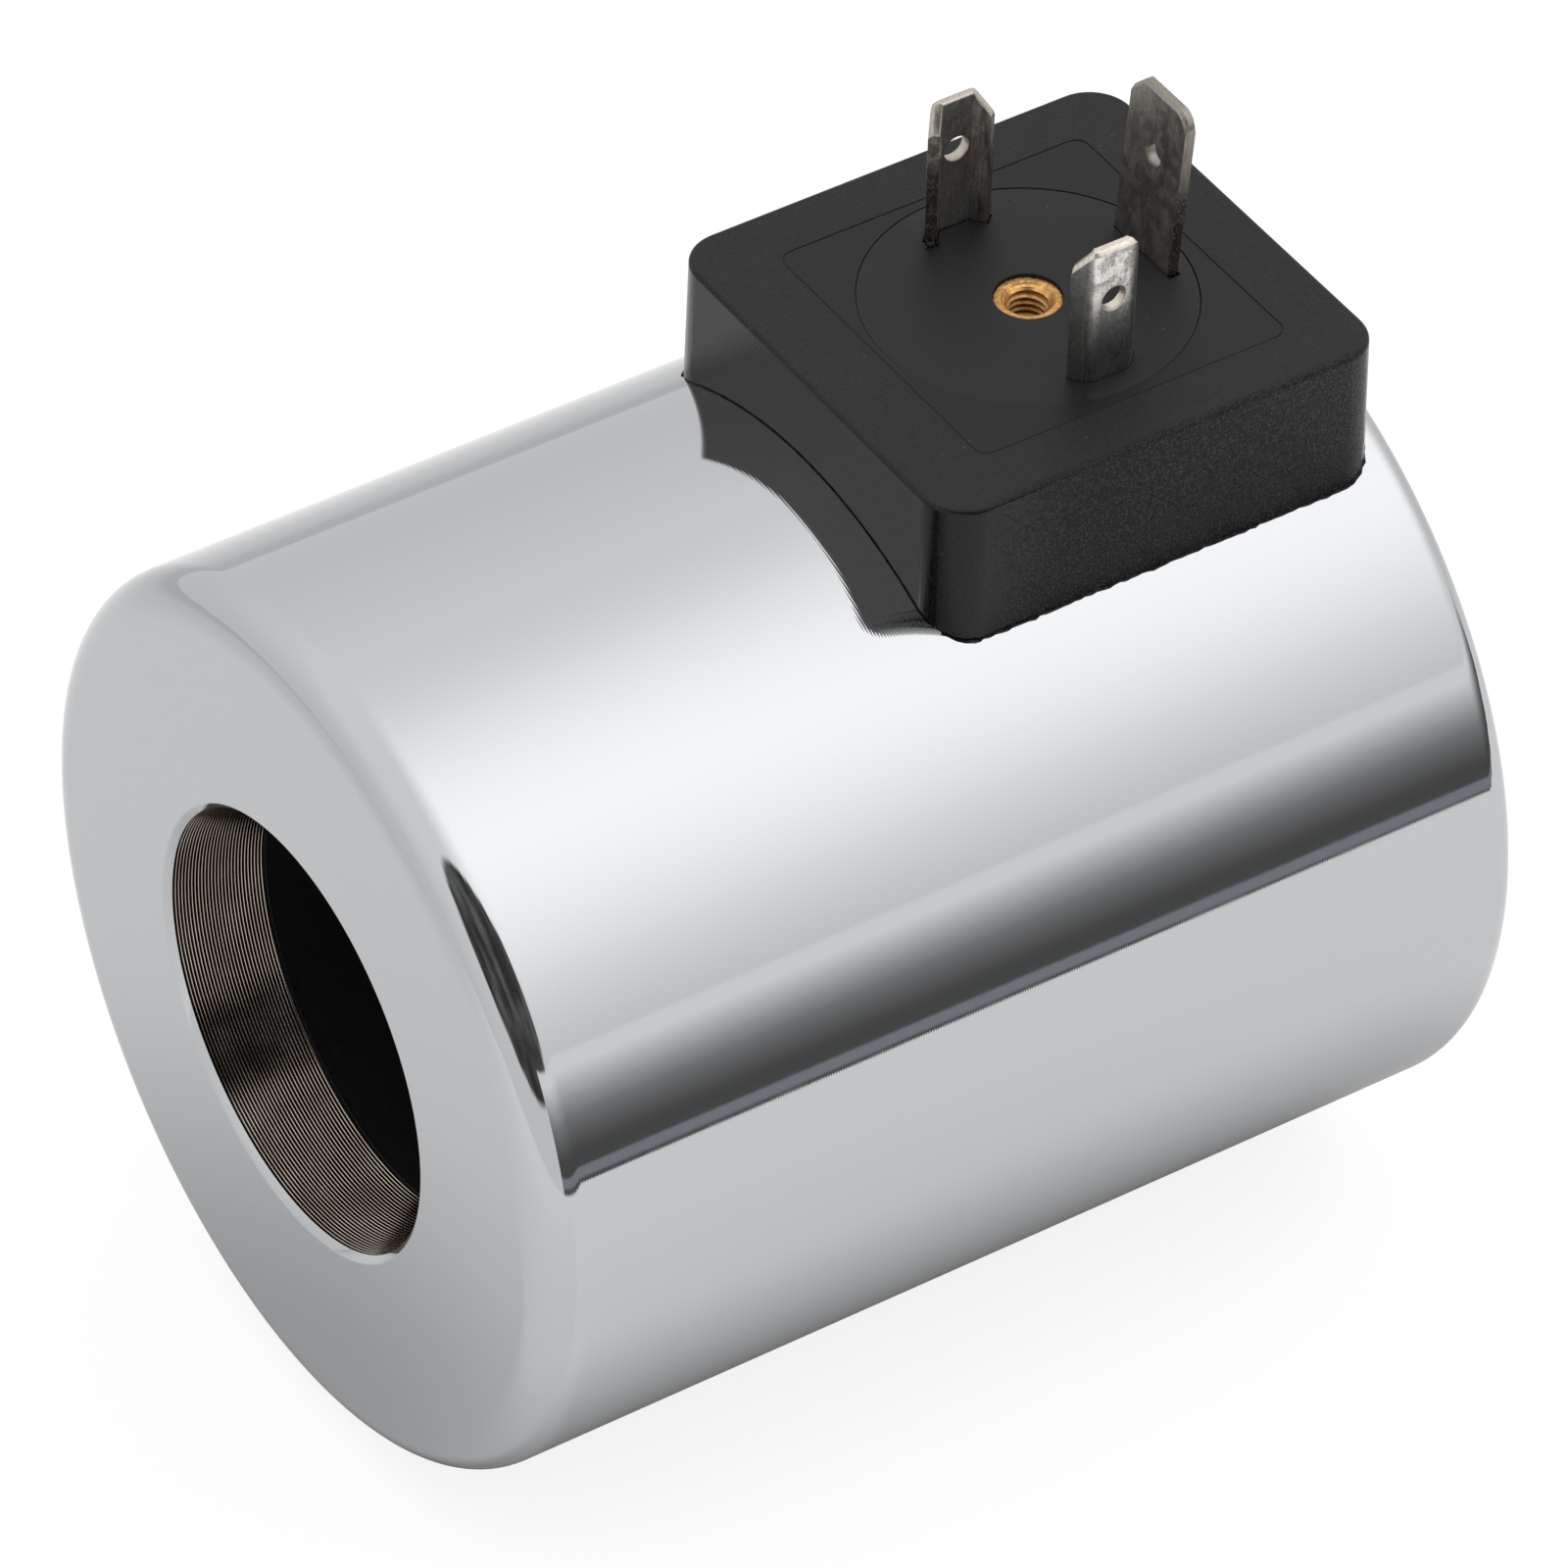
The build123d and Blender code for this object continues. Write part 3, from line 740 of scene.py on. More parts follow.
mould_grain, given = new_group("mould_grain", ("Vector", "Grain"), ("Height", "Fleck", "Dust"))
per_metre = calc("DIVIDE", 1.0, given["Grain"])
pits = noise(given["Vector"], per_metre, 3.0, 0.65)
cells = dots(given["Vector"], times(per_metre, 0.9))
rough = calc("ADD", times(pits, 0.7), times(cells, 0.35))
spots = dots(given["Vector"], 900.0)
cluster = noise(given["Vector"], 340.0, 2.0)
dust = times(fade(spots, 0.14, 0.06), fade(cluster, 0.60, 0.66))
add_node(mould_grain, "NodeGroupOutput", {"Height": rough, "Fleck": fade(pits, 0.42, 0.68), "Dust": dust})

dust_colour = (0.09, 0.088, 0.08, 1)
base_plastic, place, parts, shader = new_material("base_moulding")
off_middle = calc("ABSOLUTE", calc("SUBTRACT", parts["X"], witness_middle * mm))
inner = calc("MAXIMUM", off_middle, calc("ABSOLUTE", parts["Y"]))
outside = fade(inner, (witness_half - 0.1) * mm, witness_half * mm)
on_side = fade(parts["Z"], (base_top - 0.08) * mm, (base_top - 0.2) * mm)
worn_side = times(fade(parts["Y"], -15.4 * mm, -16 * mm), fade(parts["X"], 41 * mm, 52 * mm))
coarse = use_group(mould_grain, place, Grain=0.16 * mm)
fine = use_group(mould_grain, place, Grain=0.09 * mm)
worms = noise(place, 3600.0, 2.0, 0.4)
worms = fade(calc("ABSOLUTE", calc("SUBTRACT", worms, 0.5)), 0.012, 0.05, 1.0, 0.0)
worms = times(worms, worn_side)
roughness = blend(on_side, fade(outside, 0, 1, 0.46, 0.50), fade(worn_side, 0, 1, 0.15, 0.28))
fleck = times(coarse["Fleck"], blend(on_side, times(outside, 0.7), 0.8))
# Painted shade: the sides of the block get a darker colour than its top, though both are the same plastic.
on_top = shades(fleck, (0.0, (0.0095, 0.0095, 0.010)), (1.0, (0.024, 0.0235, 0.023)))
sides_painted_darker = shades(fleck, (0.0, (0.0022, 0.0018, 0.002)), (1.0, (0.018, 0.017, 0.017)))
# Partly painted glints: on the worn side the grain's flecks run from near black to bright grey and stand in
# for glints off its facets as well as for its pits.
pits_and_painted_glints = shades(coarse["Fleck"], (0.2, (0.0008, 0.0006, 0.0007)), (0.6, (0.044, 0.042, 0.042)))
sides_painted_darker = mix(worn_side, sides_painted_darker, pits_and_painted_glints)
colour = mix(on_side, on_top, sides_painted_darker)
colour = mix(times(worms, 0.9), colour, (0.0008, 0.0006, 0.0007, 1))
dusted = mix(times(coarse["Dust"], 0.5), colour, dust_colour)
feed(shader, {"Base Color": dusted, "Roughness": roughness, "Specular IOR Level": 0.28})
grain = blend(calc("MAXIMUM", outside, on_side), fine["Height"], coarse["Height"])
rough_border = blend(outside, 0.012 * mm, 0.035 * mm)
raise_marks(shader, grain, blend(on_side, rough_border, fade(worn_side, 0, 1, 0.014 * mm, 0.16 * mm)))
raise_marks(shader, calc("SUBTRACT", 1.0, worms), 0.14 * mm)
for piece in (plug_base, neck, flash):
    clad(piece, base_plastic)
plug_base = join(plug_base, neck, flash)
smooth(plug_base, 30)
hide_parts("encapsulation")
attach(plug_base, "root")

# Blades: stamped from 0.8 mm sheet and tinned. The two contact blades are folded along both sides into a
# shallow channel, with sloped tip corners and a hole; a narrow tail goes down to the wire.
sheet = 0.8
contact_face = 9.4
contact_height = 10.4
contact_half_web = 1.575
contact_fold = math.radians(50)
contact_bend = 1.1
contact_wing = 1.6
contact_corner_drop = 1.6
fold_steps, first_sloped_step = 7, 4
contact_wing_end = contact_half_web + contact_wing * math.cos(contact_fold)
contact_hole = 1.9
contact_hole_height = 6.3
tail_half = 0.8
tail_foot = 23.66
carrier_foot = 29.8
stamped_edge = 0.06
tip_bevel_outer, tip_bevel_inner = 0.26, 0.10
contact_tip = base_top + contact_height
flat_half = contact_half_web - contact_bend * math.tan(contact_fold / 2)
wing_straight = contact_wing - contact_bend * math.tan(contact_fold / 2)
web_middle = contact_face - sheet / 2


def drill(piece, diameter, place, tilt, reach=6):
    """Drills a round hole through a piece."""
    join_or_cut(piece, bar(diameter / 2 * mm, reach * mm, Vector(place) * mm, tilt, 40), "DIFFERENCE")


def bevel_tip(piece, outer):
    """Bevels the edges of a blade's cut tip, more on its outer side than on its inner one."""
    for way, size in ((outer, tip_bevel_outer), (-outer, tip_bevel_inner)):
        in_edit(piece, "EDGE", lambda point: False)
        shape = bmesh.from_edit_mesh(piece.data)
        shape.normal_update()
        for edge in shape.edges:
            cut = any(face.normal.z > 0.3 for face in edge.link_faces)
            broad = any(abs(face.normal.z) < 0.1 and face.normal.dot(way) > 0.5 for face in edge.link_faces)
            edge.select_set(cut and broad)
        bmesh.update_edit_mesh(piece.data)
        bevel(size)
        out_of_edit()


def contact_outline(name, spare, foot):
    """The folded blade's section, flat at a height, with spare room all round."""
    piece = slab(name, 2 * tail_half, sheet + 2 * spare, Vector((window_middle, web_middle, foot)) * mm)
    in_edit(piece)
    for way in (-1, 1):
        edge_x = (window_middle + way * tail_half) * mm
        pick(piece, "EDGE", lambda point: abs(point.x - edge_x) < 0.002 * mm)
        push((way * (flat_half - tail_half), 0, 0))
        centre = Vector((window_middle + way * flat_half, contact_face - contact_bend, foot)) * mm
        bpy.ops.mesh.spin(steps=fold_steps, angle=way * contact_fold, center=centre, axis=(0, 0, 1))
        push(Vector((way * math.cos(contact_fold), -math.sin(contact_fold), 0)) * (wing_straight + spare))
    out_of_edit()
    return piece


contact_1 = contact_outline("contact_1", 0, carrier_foot)
in_edit(contact_1)
push((0, 0, contact_tip - carrier_foot))


def on_tail(point):
    """Whether a point lies on the blade's foot, where its tail starts."""
    in_tail = abs(point.x - window_middle * mm) < (tail_half + 0.01) * mm
    return at_height(carrier_foot)(point) and in_tail and point.y > (contact_face - sheet - 0.01) * mm


# The tail, then the slope of the tip's corners, which follows the folded sheet.
pick(contact_1, "FACE", on_tail)
push((0, 0, tail_foot - carrier_foot))
out_of_edit()
bend_middle = contact_bend - sheet / 2
sloped_share = 1 - first_sloped_step / fold_steps
slope = contact_corner_drop / (bend_middle * contact_fold * sloped_share + wing_straight)
for step in range(first_sloped_step, fold_steps + 2):
    turned = contact_fold * min(step, fold_steps) / fold_steps
    run = wing_straight if step > fold_steps else 0
    along_sheet = bend_middle * (turned - contact_fold * first_sloped_step / fold_steps) + run
    out_way = Vector((math.sin(turned), math.cos(turned)))
    run_way = Vector((math.cos(turned), -math.sin(turned)))

    def in_step(point):
        """Whether a point lies on the tip at this step of the folds."""
        off_fold = abs(point.x / mm - window_middle) - flat_half
        spot = Vector((off_fold, point.y / mm - contact_face + contact_bend))
        on_tip = point.z > (contact_tip - 0.01) * mm
        return on_tip and spot.dot(out_way) > 0.1 and abs(spot.dot(run_way) - run) < 0.01

    in_edit(contact_1, "VERT", in_step)
    bpy.ops.transform.translate(value=(0, 0, -slope * along_sheet * mm))
    out_of_edit(tidy=False)
bevel_tip(contact_1, Vector((0, 1, 0)))
contact_hole_place = (window_middle, web_middle, base_top + contact_hole_height)
drill(contact_1, contact_hole, contact_hole_place, (math.pi / 2, 0, 0))
contact_2 = contact_1.copy()
contact_2.data = contact_1.data.copy()
bpy.context.collection.objects.link(contact_2)
contact_2.name = contact_2.data.name = "contact_2"
in_edit(contact_2)
bpy.ops.transform.resize(value=(1, -1, 1), center_override=(0, 0, 0))
out_of_edit()

# The earth blade is a flat strip, longer and wider, that leans to the rear. One of its tip corners is cut
# and the other has worn round; its foot is bent over to bear on the window's edge.
earth_x = 65.2
earth_half_width = 3.05
earth_height = 12.5
earth_lean = math.radians(4.3)
earth_hole, earth_hole_height = 1.7, 7.7
earth_cut, earth_round = 1.2, 1.35
earth_tail_half = 2.0
earth_foot = 28.2
window_rear = window_middle + window_half

earth_blade = slab("earth_blade", sheet, 2 * earth_half_width, Vector((earth_x, 0, base_top)) * mm)
in_edit(earth_blade)
push((0, 0, earth_height))
pick(earth_blade, "FACE", at_height(base_top))
push((0, 0, carrier_foot - base_top))
out_of_edit()
in_edit(earth_blade, "FACE", at_height(carrier_foot))
push((0, 0, -0.001), (1, earth_tail_half / earth_half_width, 1), (earth_x, 0, carrier_foot))
push((0, 0, earth_foot + sheet - carrier_foot))
push((0, 0, -sheet))
on_rear = lambda point: abs(point.x - (earth_x + sheet / 2) * mm) < 0.002 * mm
pick(earth_blade, "FACE", lambda point: on_rear(point) and point.z < (earth_foot + sheet + 0.01) * mm)
push((window_rear - earth_x - sheet / 2, 0, 0))
for way, size, segments in ((1, earth_cut, 1), (-1, earth_round, 7)):
    on_edge = lambda point: abs(point.y - way * earth_half_width * mm) < 0.002 * mm
    on_tip = at_height(base_top + earth_height)
    pick(earth_blade, "EDGE", lambda point: on_tip(point) and on_edge(point))
    bevel(size, segments)
out_of_edit()
bevel_tip(earth_blade, Vector((-1, 0, 0)))
drill(earth_blade, earth_hole, (earth_x, 0, base_top + earth_hole_height), (0, math.pi / 2, 0))
in_edit(earth_blade)
pick(earth_blade, "VERT", lambda point: point.z > (base_top + 0.01) * mm)
earth_root = Vector((earth_x, 0, base_top)) * mm
bpy.ops.transform.rotate(value=-earth_lean, orient_axis="Y", center_override=earth_root)
out_of_edit()

# Wear of a metal surface: dull patches, a fine grain, stains that run along the piece, and scratches. The
# blades, the insert and the solder each have it at their own size.
metal_wear, given = new_group("metal_wear", ("Vector", "Patch"), ("Dull", "Grain", "Stain", "Scratch"))
patch = noise(given["Vector"], calc("DIVIDE", 1.0, given["Patch"]), 6.0, 0.7)
speck = noise(given["Vector"], 9000.0, 2.0)
streak, lines = (
    noise(vector_calc("MULTIPLY", given["Vector"], grain), 1.0, detail)
    for grain, detail in (((3200, 3200, 240), 3.0), ((9000, 9000, 700), 2.0))
)
painted_shade_and_wear = {
    "Dull": fade(patch, 0.36, 0.66),
    "Grain": fade(speck, 0.3, 0.7),
    "Stain": fade(streak, 0.48, 0.66),
    "Scratch": lines,
}
add_node(metal_wear, "NodeGroupOutput", painted_shade_and_wear)

# The tin is worn bright where the plug's sockets rub, and has gone dull lower down, with brown stains
# along the folds. The cut edges show bare metal, which is dark and rough near the foot.
edge_dull, edge_bright = 5.2, 7.2
bright_run = 1.6
edge_metal, place, parts, shader = new_material("blade_cut_edge")
wear = use_group(metal_wear, place, Patch=0.5 * mm)
brightened = fade(parts["Z"], (base_top + edge_dull) * mm, (base_top + edge_bright) * mm)
# Painted reflection: the walls of the contacts' holes get the pale colour too, as if they mirrored the bright
# tent.
hole_place = Vector((window_middle, 0, base_top + contact_hole_height)) * mm
from_hole, outward = from_line(place, hole_place, (1, 0, 1))
brightened = calc("MAXIMUM", brightened, fade(from_hole, 1.2 * mm, 1.1 * mm))
pale = shades(wear["Scratch"], (0.3, (0.62, 0.55, 0.45)), (0.6, (0.84, 0.79, 0.71)))
dark_rust, light_rust, bare = (0.15, 0.12, 0.10), (0.29, 0.25, 0.215), (0.62, 0.56, 0.48)
rusty = shades(wear["Grain"], (0.1, dark_rust), (0.85, light_rust), (0.97, bare))
earth_dim = fade(parts["X"], 60 * mm, 62 * mm, 1.0, 0.42)
dimmer = calc("MINIMUM", earth_dim, fade(parts["Y"], 4 * mm, 6 * mm, 1.0, 0.72))
pale = vector_calc("SCALE", pale, dimmer)
colour = mix(brightened, rusty, pale)
feed(shader, {"Base Color": colour, "Metallic": 1, "Roughness": fade(wear["Dull"], 0, 1, 0.30, 0.45)})
raise_marks(shader, wear["Scratch"], 0.008 * mm)
raise_marks(shader, wear["Grain"], 0.004 * mm)

for blade, node, broad_way, foot, tip, tip_start, patchy, streaky, stained in (
    (contact_1, "terminal_1", "y", (0.54, 0.53, 0.50), (0.60, 0.58, 0.545), 6.5, 0.10, 1.0,
     (0.20, 0.115, 0.07)),
    (contact_2, "terminal_2", "y", (0.34, 0.34, 0.335), (0.84, 0.81, 0.77), 4.6, 0.30, 0.4,
     (0.62, 0.54, 0.40)),
    (earth_blade, "earth_terminal", "x", (0.47, 0.44, 0.405), (0.46, 0.43, 0.40), 9.5, 0.02, 1.0,
     (0.17, 0.115, 0.09)),
):
    rounding = {"width": stamped_edge * mm, "segments": 2, "limit_method": "ANGLE"}
    modify(blade, "BEVEL", angle_limit=math.radians(40), use_clamp_overlap=True, **rounding)
    tin, place, parts, shader = new_material(blade.name + "_tin")
    wear = use_group(metal_wear, place, Patch=1.3 * mm)
    uneven = fade(wear["Dull"], 0, 1, -0.9 * mm, 0.9 * mm)
    bright_from, bright_to = (base_top + tip_start) * mm, (base_top + tip_start + bright_run) * mm
    brightened = fade(calc("ADD", parts["Z"], uneven), bright_from, bright_to)
    across = calc("ABSOLUTE", calc("SUBTRACT", parts["X"], window_middle * mm))
    if blade == contact_2:
        brightened = times(brightened, fade(across, 1.72 * mm, 1.45 * mm))
    colour = mix(brightened, (*foot, 1), (*tip, 1))
    tone = fade(wear["Grain"], 0, 1, 0.80, 1.10)
    tone = calc("ADD", tone, fade(wear["Dull"], 0.3, 0.7, 0.4 * patchy, -patchy))
    tone = calc("ADD", tone, fade(wear["Scratch"], 0.3, 0.7, -0.12, 0.12))
    toned = vector_calc("SCALE", colour, tone)
    on_fold = times(fade(across, 1.1 * mm, 1.35 * mm), fade(across, 2.15 * mm, 1.9 * mm))
    stain = times(wear["Stain"], fade(on_fold, 0, 1, 0.18 * streaky, 0.85 * streaky))
    stained_colour = mix(stain, toned, (*stained, 1))
    roughness = fade(wear["Dull"], 0, 1, 0.30, 0.42)
    feed(shader, {"Base Color": stained_colour, "Metallic": 1, "Roughness": roughness})
    raise_marks(shader, wear["Scratch"], 0.004 * mm)
    raise_marks(shader, wear["Grain"], 0.0025 * mm)
    clad(blade, tin, edge_metal)
    for face in blade.data.polygons:
        across_sheet = abs(getattr(face.normal, broad_way))
        hole_wall = across_sheet < 0.3 and abs(face.normal.z) > 0.05
        if broad_way == "x":
            on_end = across_sheet < 0.5
        else:
            on_wing = abs(face.center.x - window_middle * mm) > (contact_wing_end - 0.75 * sheet) * mm
            on_end = on_wing and face.normal.y * face.center.y < 0 and abs(face.normal.x) < 0.72
        face.material_index = int(face.normal.z > 0.2 or hole_wall or on_end)
    smooth(blade, 30)
    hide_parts(node)
    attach(blade, "root")

# Brass insert: a turned bush with a flange and a waist that the moulding grips, with a cut M3 thread. The
# flange lies a little below the moulding.
insert_top = 37.18
insert_foot = 30.7
insert_radius = 2.28
insert_flange = 0.9
insert_body = 2.0
insert_waist = 1.8
waist_low, waist_high = 32.85, 34.05
thread_root = 1.53
thread_crest = 1.25
thread_pitch = 0.5
thread_turns = 11
thread_bite, thread_lift, ridge_foot = 0.03, 0.3, 0.44
thread_start = math.radians(-124)
mouth_radius = 1.76
mouth_depth, mouth_step = 0.42, 0.05
cone_foot, cone_top, cone_drop = 1.37, 1.60, 0.16
dish_radius, dish_drop = 1.67, 0.13
insert_rim, insert_mouth_rim = 0.06, 0.03

insert_stations = [
    (insert_top, mouth_radius),
    (insert_top, insert_radius),
    (insert_top - insert_flange, insert_radius),
    (insert_top - insert_flange, insert_body),
    (waist_high, insert_body),
    (waist_high, insert_waist),
    (waist_low, insert_waist),
    (waist_low, insert_body),
    (insert_foot, insert_body),
    (insert_foot, thread_root),
    (insert_top - mouth_depth - mouth_step, thread_root),
    (insert_top - mouth_depth, cone_foot),
    (insert_top - cone_drop, cone_top),
    (insert_top - dish_drop, dish_radius),
]
brass_insert = turn("brass_insert", insert_stations, 96, window_middle)
round_rim(brass_insert, insert_top, insert_radius, insert_rim, 2, window_middle)
round_rim(brass_insert, insert_top, mouth_radius, insert_mouth_rim, 2, window_middle)

# The thread is one ridge, wound up the hole as a screw.
bpy.ops.object.select_all(action="DESELECT")
bpy.ops.mesh.primitive_plane_add(size=mm, location=Vector((window_middle, 0, insert_foot + thread_lift)) * mm)
thread = bpy.context.object
in_edit(thread)
bpy.ops.transform.rotate(value=math.pi / 2, orient_axis="X", center_override=thread.location)
thread_foot = thread_root + thread_bite
bpy.ops.transform.resize(value=(thread_foot - thread_crest, 1, ridge_foot), center_override=thread.location)
bpy.ops.transform.translate(value=((thread_foot + thread_crest) / 2 * mm, 0, 0))
pick(thread, "VERT", lambda point: point.x < (thread_crest + 0.01) * mm)
bpy.ops.transform.resize(value=(1, 1, 0.2), center_override=thread.location)
bpy.ops.mesh.select_all(action="SELECT")
bpy.ops.mesh.delete(type="ONLY_FACE")
bpy.ops.object.mode_set(mode="OBJECT")
winding_on = {"angle": 2 * math.pi, "screw_offset": thread_pitch * mm, "iterations": thread_turns}
modify(thread, "SCREW", steps=48, render_steps=48, **winding_on)
in_edit(thread)
bpy.ops.mesh.fill_holes(sides=0)
out_of_edit()
thread.rotation_euler.z = thread_start
bpy.ops.object.transform_apply()
brass_insert = join(brass_insert, thread)

brass, place, parts, shader = new_material("insert_brass")
wear = use_group(metal_wear, place, Patch=0.5 * mm)
reach, outward = from_line(place, (window_middle * mm, 0, 0), (1, 1, 0))
marks = use_group(feed_marks, place, Feed=reach, Pitch=0.13 * mm, Tilt=0.10, Along=outward)
colour = shades(wear["Dull"], (0.0, (0.86, 0.51, 0.19)), (1.0, (0.64, 0.345, 0.11)))
rim_grime = times(fade(reach, 2.10 * mm, 2.26 * mm), fade(wear["Scratch"], 0.3, 0.7, 0.2, 0.9))
in_thread = fade(parts["Z"], (insert_top - 0.35) * mm, (insert_top - 0.5) * mm)
# Painted shade: deeper in the hole the thread is painted brown and dark towards its root, and made less
# metallic. The rim's grime and the flecks are dirt.
thread_painted_shade = times(fade(reach, 1.30 * mm, 1.48 * mm, 0.0, 0.8), in_thread)
flecks = times(times(wear["Dull"], fade(reach, 1.5 * mm, 1.8 * mm)), fade(wear["Grain"], 0.5, 0.8, 0.0, 0.4))
grime_and_painted_shade = calc("MAXIMUM", calc("MAXIMUM", rim_grime, thread_painted_shade), flecks)
grimy_and_shaded = mix(grime_and_painted_shade, colour, (0.36, 0.17, 0.055, 1))
metal = fade(in_thread, 0, 1, 1.0, 0.45)
roughness = calc("ADD", fade(wear["Dull"], 0, 1, 0.22, 0.38), fade(in_thread, 0, 1, 0.0, 0.12))
feed(shader, {"Base Color": grimy_and_shaded, "Metallic": metal, "Roughness": roughness, "Normal": marks["Normal"]})
raise_marks(shader, wear["Dull"], fade(reach, 1.5 * mm, 1.8 * mm, 0.004 * mm, 0.03 * mm))
clad(brass_insert, brass)
smooth(brass_insert, 30)
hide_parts("thread_insert")
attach(brass_insert, "root")

# Terminal carrier: a round black moulding that holds the three blades and the insert, flush in the plug
# base. The blades were pushed through it, so a hair of air shows round their feet.
carrier_groove_depth = 0.6
carrier_groove_low, carrier_groove_high = 32.8, 34.2
first_air, second_air, earth_air = 0.10, 0.035, 0.05
earth_slot_end = 0.32
well_air, body_air = 0.03, 0.02
carrier_rim, well_rim = 0.02, 0.03
crumb_count = 9
crumb_spot = (53.55, 7.6)
crumb_wave = 0.07
crumb_near, crumb_step, crumb_turn = 0.10, 0.075, 2.4
crumb_low, crumb_rise = 0.03, 0.11
crumb_radius, crumb_shrink = 0.17, 0.01

carrier_stations = [
    (base_top, insert_radius + well_air),
    (base_top, carrier_radius),
    (carrier_groove_high, carrier_radius),
    (carrier_groove_high, carrier_radius - carrier_groove_depth),
    (carrier_groove_low, carrier_radius - carrier_groove_depth),
    (carrier_groove_low, carrier_radius),
    (carrier_foot, carrier_radius),
]
blade_carrier = turn("blade_carrier", carrier_stations, ring_steps, window_middle, closed=False)
in_mouth = lambda point: math.hypot(point.x - window_middle * mm, point.y) < (insert_radius + 0.1) * mm
in_edit(blade_carrier, "FACE", lambda point: at_height(base_top)(point) and in_mouth(point))
well = [
    (insert_top - insert_flange, insert_radius + well_air),
    (insert_top - insert_flange, insert_body + body_air),
    (insert_foot, insert_body + body_air),
]
place_now, radius_now = base_top, insert_radius + well_air
for next_place, next_radius in well:
    grow = next_radius / radius_now
    push((0, 0, next_place - place_now), (grow, grow, 1), (window_middle, 0, next_place))
    place_now, radius_now = next_place, next_radius
out_of_edit()
round_rim(blade_carrier, base_top, carrier_radius, carrier_rim, 2, window_middle)
round_rim(blade_carrier, base_top, insert_radius + well_air, well_rim, 2, window_middle)
slots = [contact_outline("slot", air, carrier_foot - 1) for air in (first_air, second_air)]
earth_slot = (sheet + 2 * earth_air, 2 * earth_half_width + earth_air + earth_slot_end)
earth_middle = Vector((earth_x, (earth_air - earth_slot_end) / 2, carrier_foot - 1)) * mm
slots.append(slab("slot", *earth_slot, earth_middle))
for slot, way in zip(slots, (1, -1, 1)):
    in_edit(slot)
    push((0, 0, base_top - carrier_foot + 2))
    bpy.ops.mesh.select_all(action="SELECT")
    bpy.ops.transform.resize(value=(1, way, 1), center_override=(0, 0, 0))
    out_of_edit()
    join_or_cut(blade_carrier, slot, "DIFFERENCE")

# Crumbs of plastic that the first blade's foot tore up when it was pushed in. Each is a little ball, made
# ragged, and they lie along a spiral at the foot.
for crumb in range(crumb_count):
    spread, turned = crumb_near + crumb_step * crumb, crumb_turn * crumb
    crumb_x = crumb_spot[0] + spread * math.cos(turned)
    crumb_y = crumb_spot[1] + 0.5 * spread * math.sin(turned)
    spot = Vector((crumb_x, crumb_y, base_top + crumb_low + crumb_rise * (crumb % 4))) * mm
    ball = {"subdivisions": 2, "radius": (crumb_radius - crumb_shrink * crumb) * mm}
    bit = primitive(bpy.ops.mesh.primitive_ico_sphere_add, spot, **ball)
    in_edit(bit)
    bpy.ops.transform.vertex_random(offset=crumb_wave * mm, uniform=0.0, seed=crumb)
    out_of_edit(tidy=False)
    blade_carrier = join(blade_carrier, bit)
carrier_plastic, place, parts, shader = new_material("carrier_moulding")
grain = use_group(mould_grain, place, Grain=0.08 * mm)
colour = shades(grain["Fleck"], (0.0, (0.0075, 0.0075, 0.008)), (1.0, (0.013, 0.013, 0.0135)))
dusted = mix(times(grain["Dust"], 0.5), colour, dust_colour)
roughness = fade(grain["Height"], 0.2, 0.8, 0.46, 0.54)
feed(shader, {"Base Color": dusted, "Roughness": roughness, "Specular IOR Level": 0.34})
raise_marks(shader, grain["Height"], 0.008 * mm)
clad(blade_carrier, carrier_plastic)
smooth(blade_carrier, 30)
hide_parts("terminal_carrier")
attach(blade_carrier, "root")

# Rear pole plate: a steel ring pressed into the casing's rear, faced on the lathe and zinc plated. It
# closes the magnetic path and stands 0.6 mm inside the casing's rear rim.
plate_rear = 74.7
plate_chamfer = 0.4
plate_stations = [
    (plate_seat, bore_radius),
    (plate_rear, bore_radius),
    (plate_rear, plate_radius),
    (plate_seat, plate_radius),
]
rear_plate = turn("rear_plate", plate_stations, ring_steps)
round_rim(rear_plate, plate_rear, bore_radius, plate_chamfer, 3)
round_rim(rear_plate, plate_rear, plate_radius, plate_chamfer, 3)
zinc, place, parts, shader = new_material("pole_plate_zinc")
reach, outward = from_line(place)
marks = use_group(feed_marks, place, Feed=reach, Pitch=0.35 * mm, Tilt=0.12, Along=outward)
rings = calc("ADD", times(marks["Ridge"], 0.6), times(marks["Haze"], 0.4))
colour = shades(rings, (0.25, (0.44, 0.45, 0.465)), (0.75, (0.60, 0.61, 0.62)))
roughness = fade(marks["Haze"], 0.3, 0.7, 0.28, 0.40)
feed(shader, {"Base Color": colour, "Metallic": 1, "Roughness": roughness, "Normal": marks["Normal"]})
raise_marks(shader, marks["Haze"], 0.0015 * mm)
clad(rear_plate, zinc)
smooth(rear_plate)
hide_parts("rear_pole_plate")
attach(rear_plate, "root")

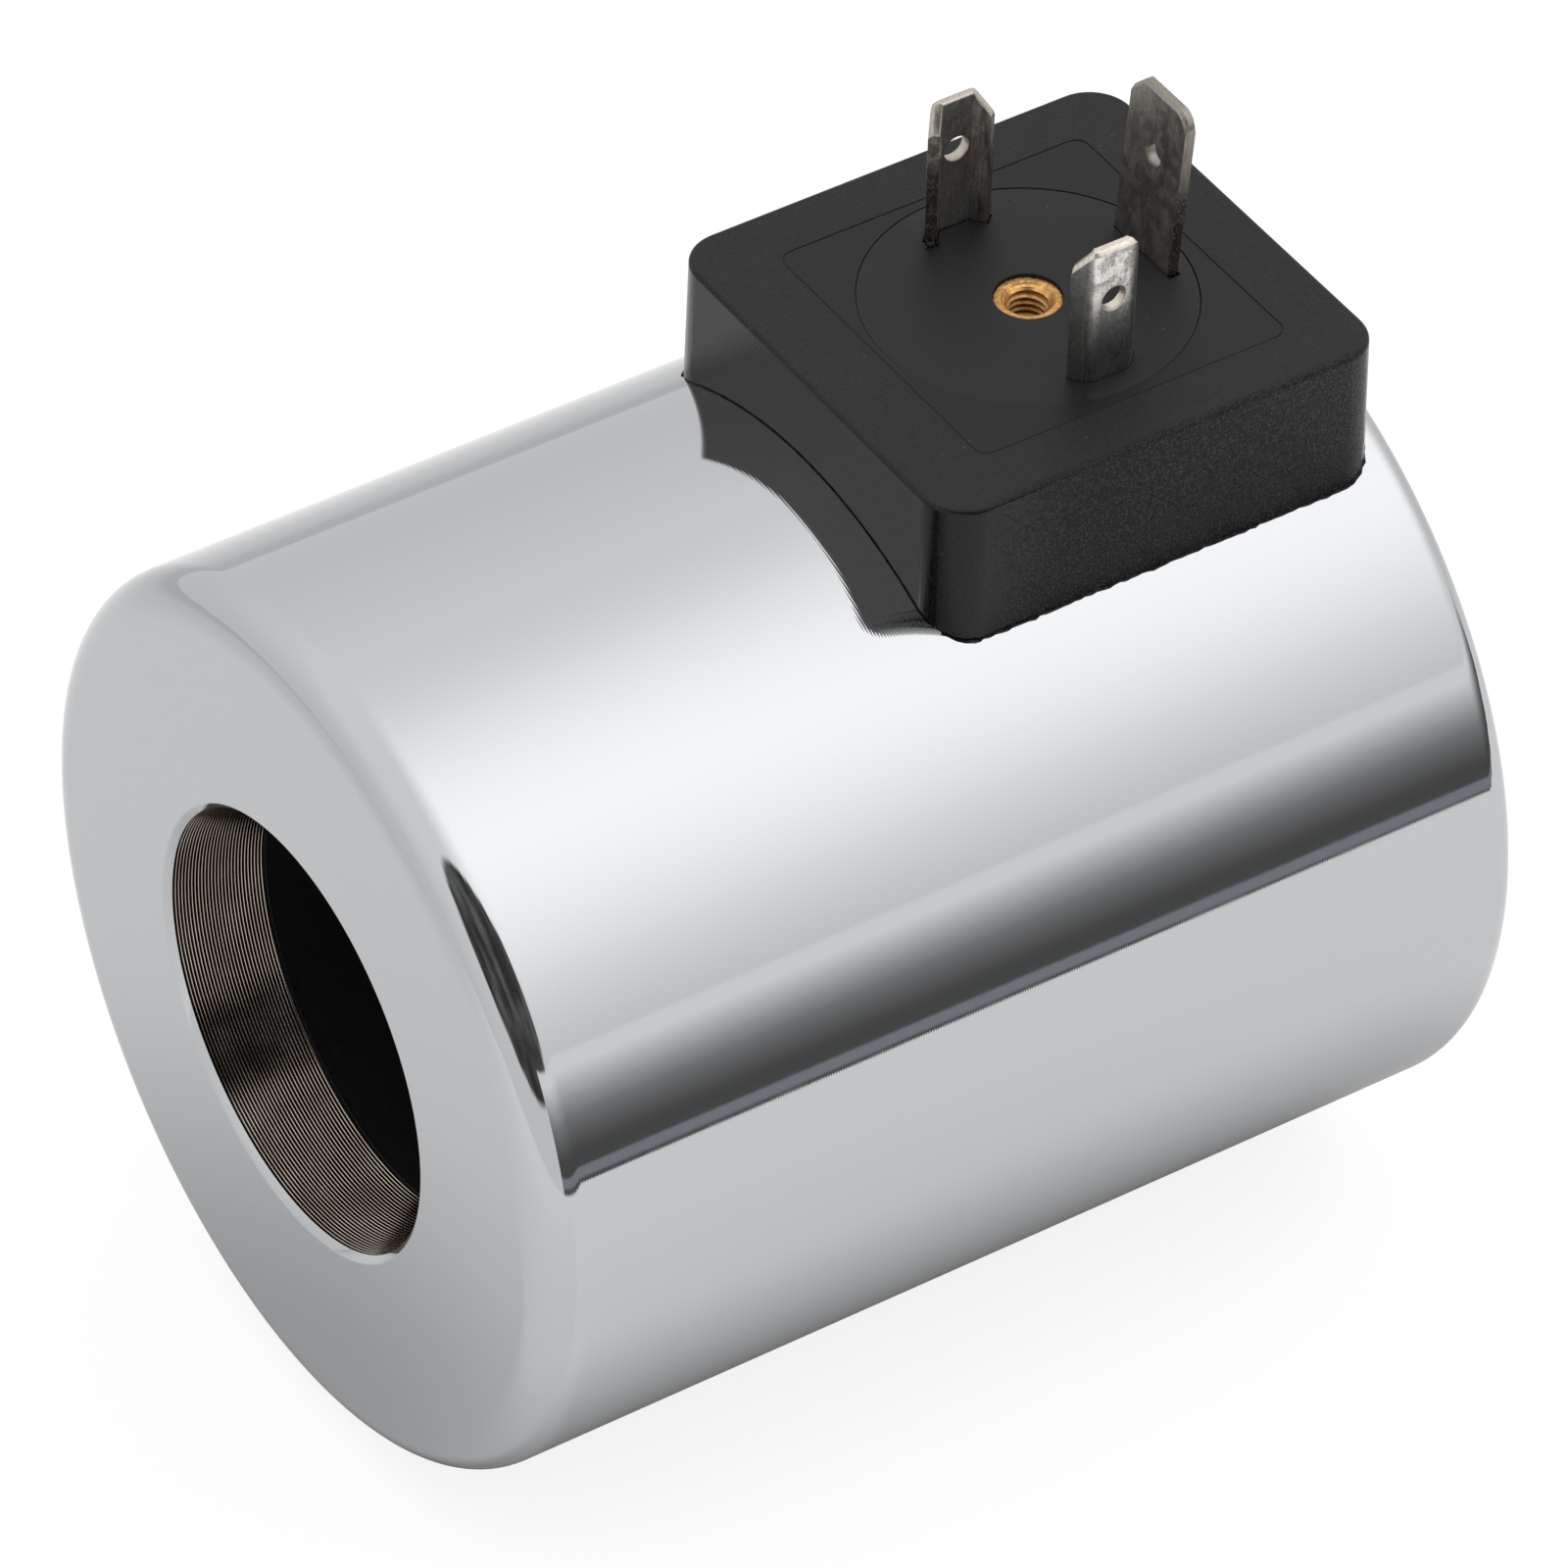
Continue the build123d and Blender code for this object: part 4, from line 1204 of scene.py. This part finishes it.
# Bobbin, winding, tape, leads, sleeves and solder: the sealed inside, as the part's solids have it. Only
# the bobbin's bore shows, past the front wall.
finishes = {}
finishes["bobbin"], place, parts, shader = new_material("bobbin_moulding")
grain = use_group(mould_grain, place, Grain=0.3 * mm)
colour = shades(grain["Fleck"], (0.0, (0.006, 0.006, 0.007)), (1.0, (0.010, 0.010, 0.011)))
feed(shader, {"Base Color": colour, "Roughness": fade(grain["Height"], 0.2, 0.8, 0.40, 0.55)})
raise_marks(shader, grain["Height"], 0.01 * mm)
for name, pitch, shown, dark, pale, metal, roughness, ridge_height, nodes in (
    ("copper_wire", 0.7, "Haze", (0.3, (0.42, 0.16, 0.06)), (0.7, (0.56, 0.24, 0.09)), 1, 0.3, 0.15,
     ("winding", "lead_start", "lead_finish")),
    ("wrap_tape", 9.0, "Haze", (0.3, (0.52, 0.44, 0.20)), (0.7, (0.64, 0.56, 0.32)), 0, 0.35, 0.05,
     ("winding_wrap",)),
    ("lead_sleeve", 0.35, "Ridge", (0.0, (0.60, 0.58, 0.50)), (1.0, (0.78, 0.76, 0.68)), 0, 0.7, 0.04,
     ("lead_sleeve_1", "lead_sleeve_2")),
):
    finish, place, parts, shader = new_material(name)
    marks = use_group(feed_marks, place, Feed=parts["X"], Pitch=pitch * mm, Tilt=0.0, Along=(1, 0, 0))
    feed(shader, {"Base Color": shades(marks[shown], dark, pale), "Metallic": metal, "Roughness": roughness})
    raise_marks(shader, marks["Ridge"], ridge_height * mm)
    finishes.update(dict.fromkeys(nodes, finish))
solder, place, parts, shader = new_material("bright_solder")
wear = use_group(metal_wear, place, Patch=0.6 * mm)
colour = shades(wear["Dull"], (0.0, (0.66, 0.66, 0.67)), (1.0, (0.48, 0.48, 0.48)))
feed(shader, {"Base Color": colour, "Metallic": 1, "Roughness": fade(wear["Dull"], 0, 1, 0.2, 0.35)})
raise_marks(shader, wear["Dull"], 0.05 * mm)
finishes.update(solder_joint_1=solder, solder_joint_2=solder)
for node, finish in finishes.items():
    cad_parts[node].material_slots[0].material = finish
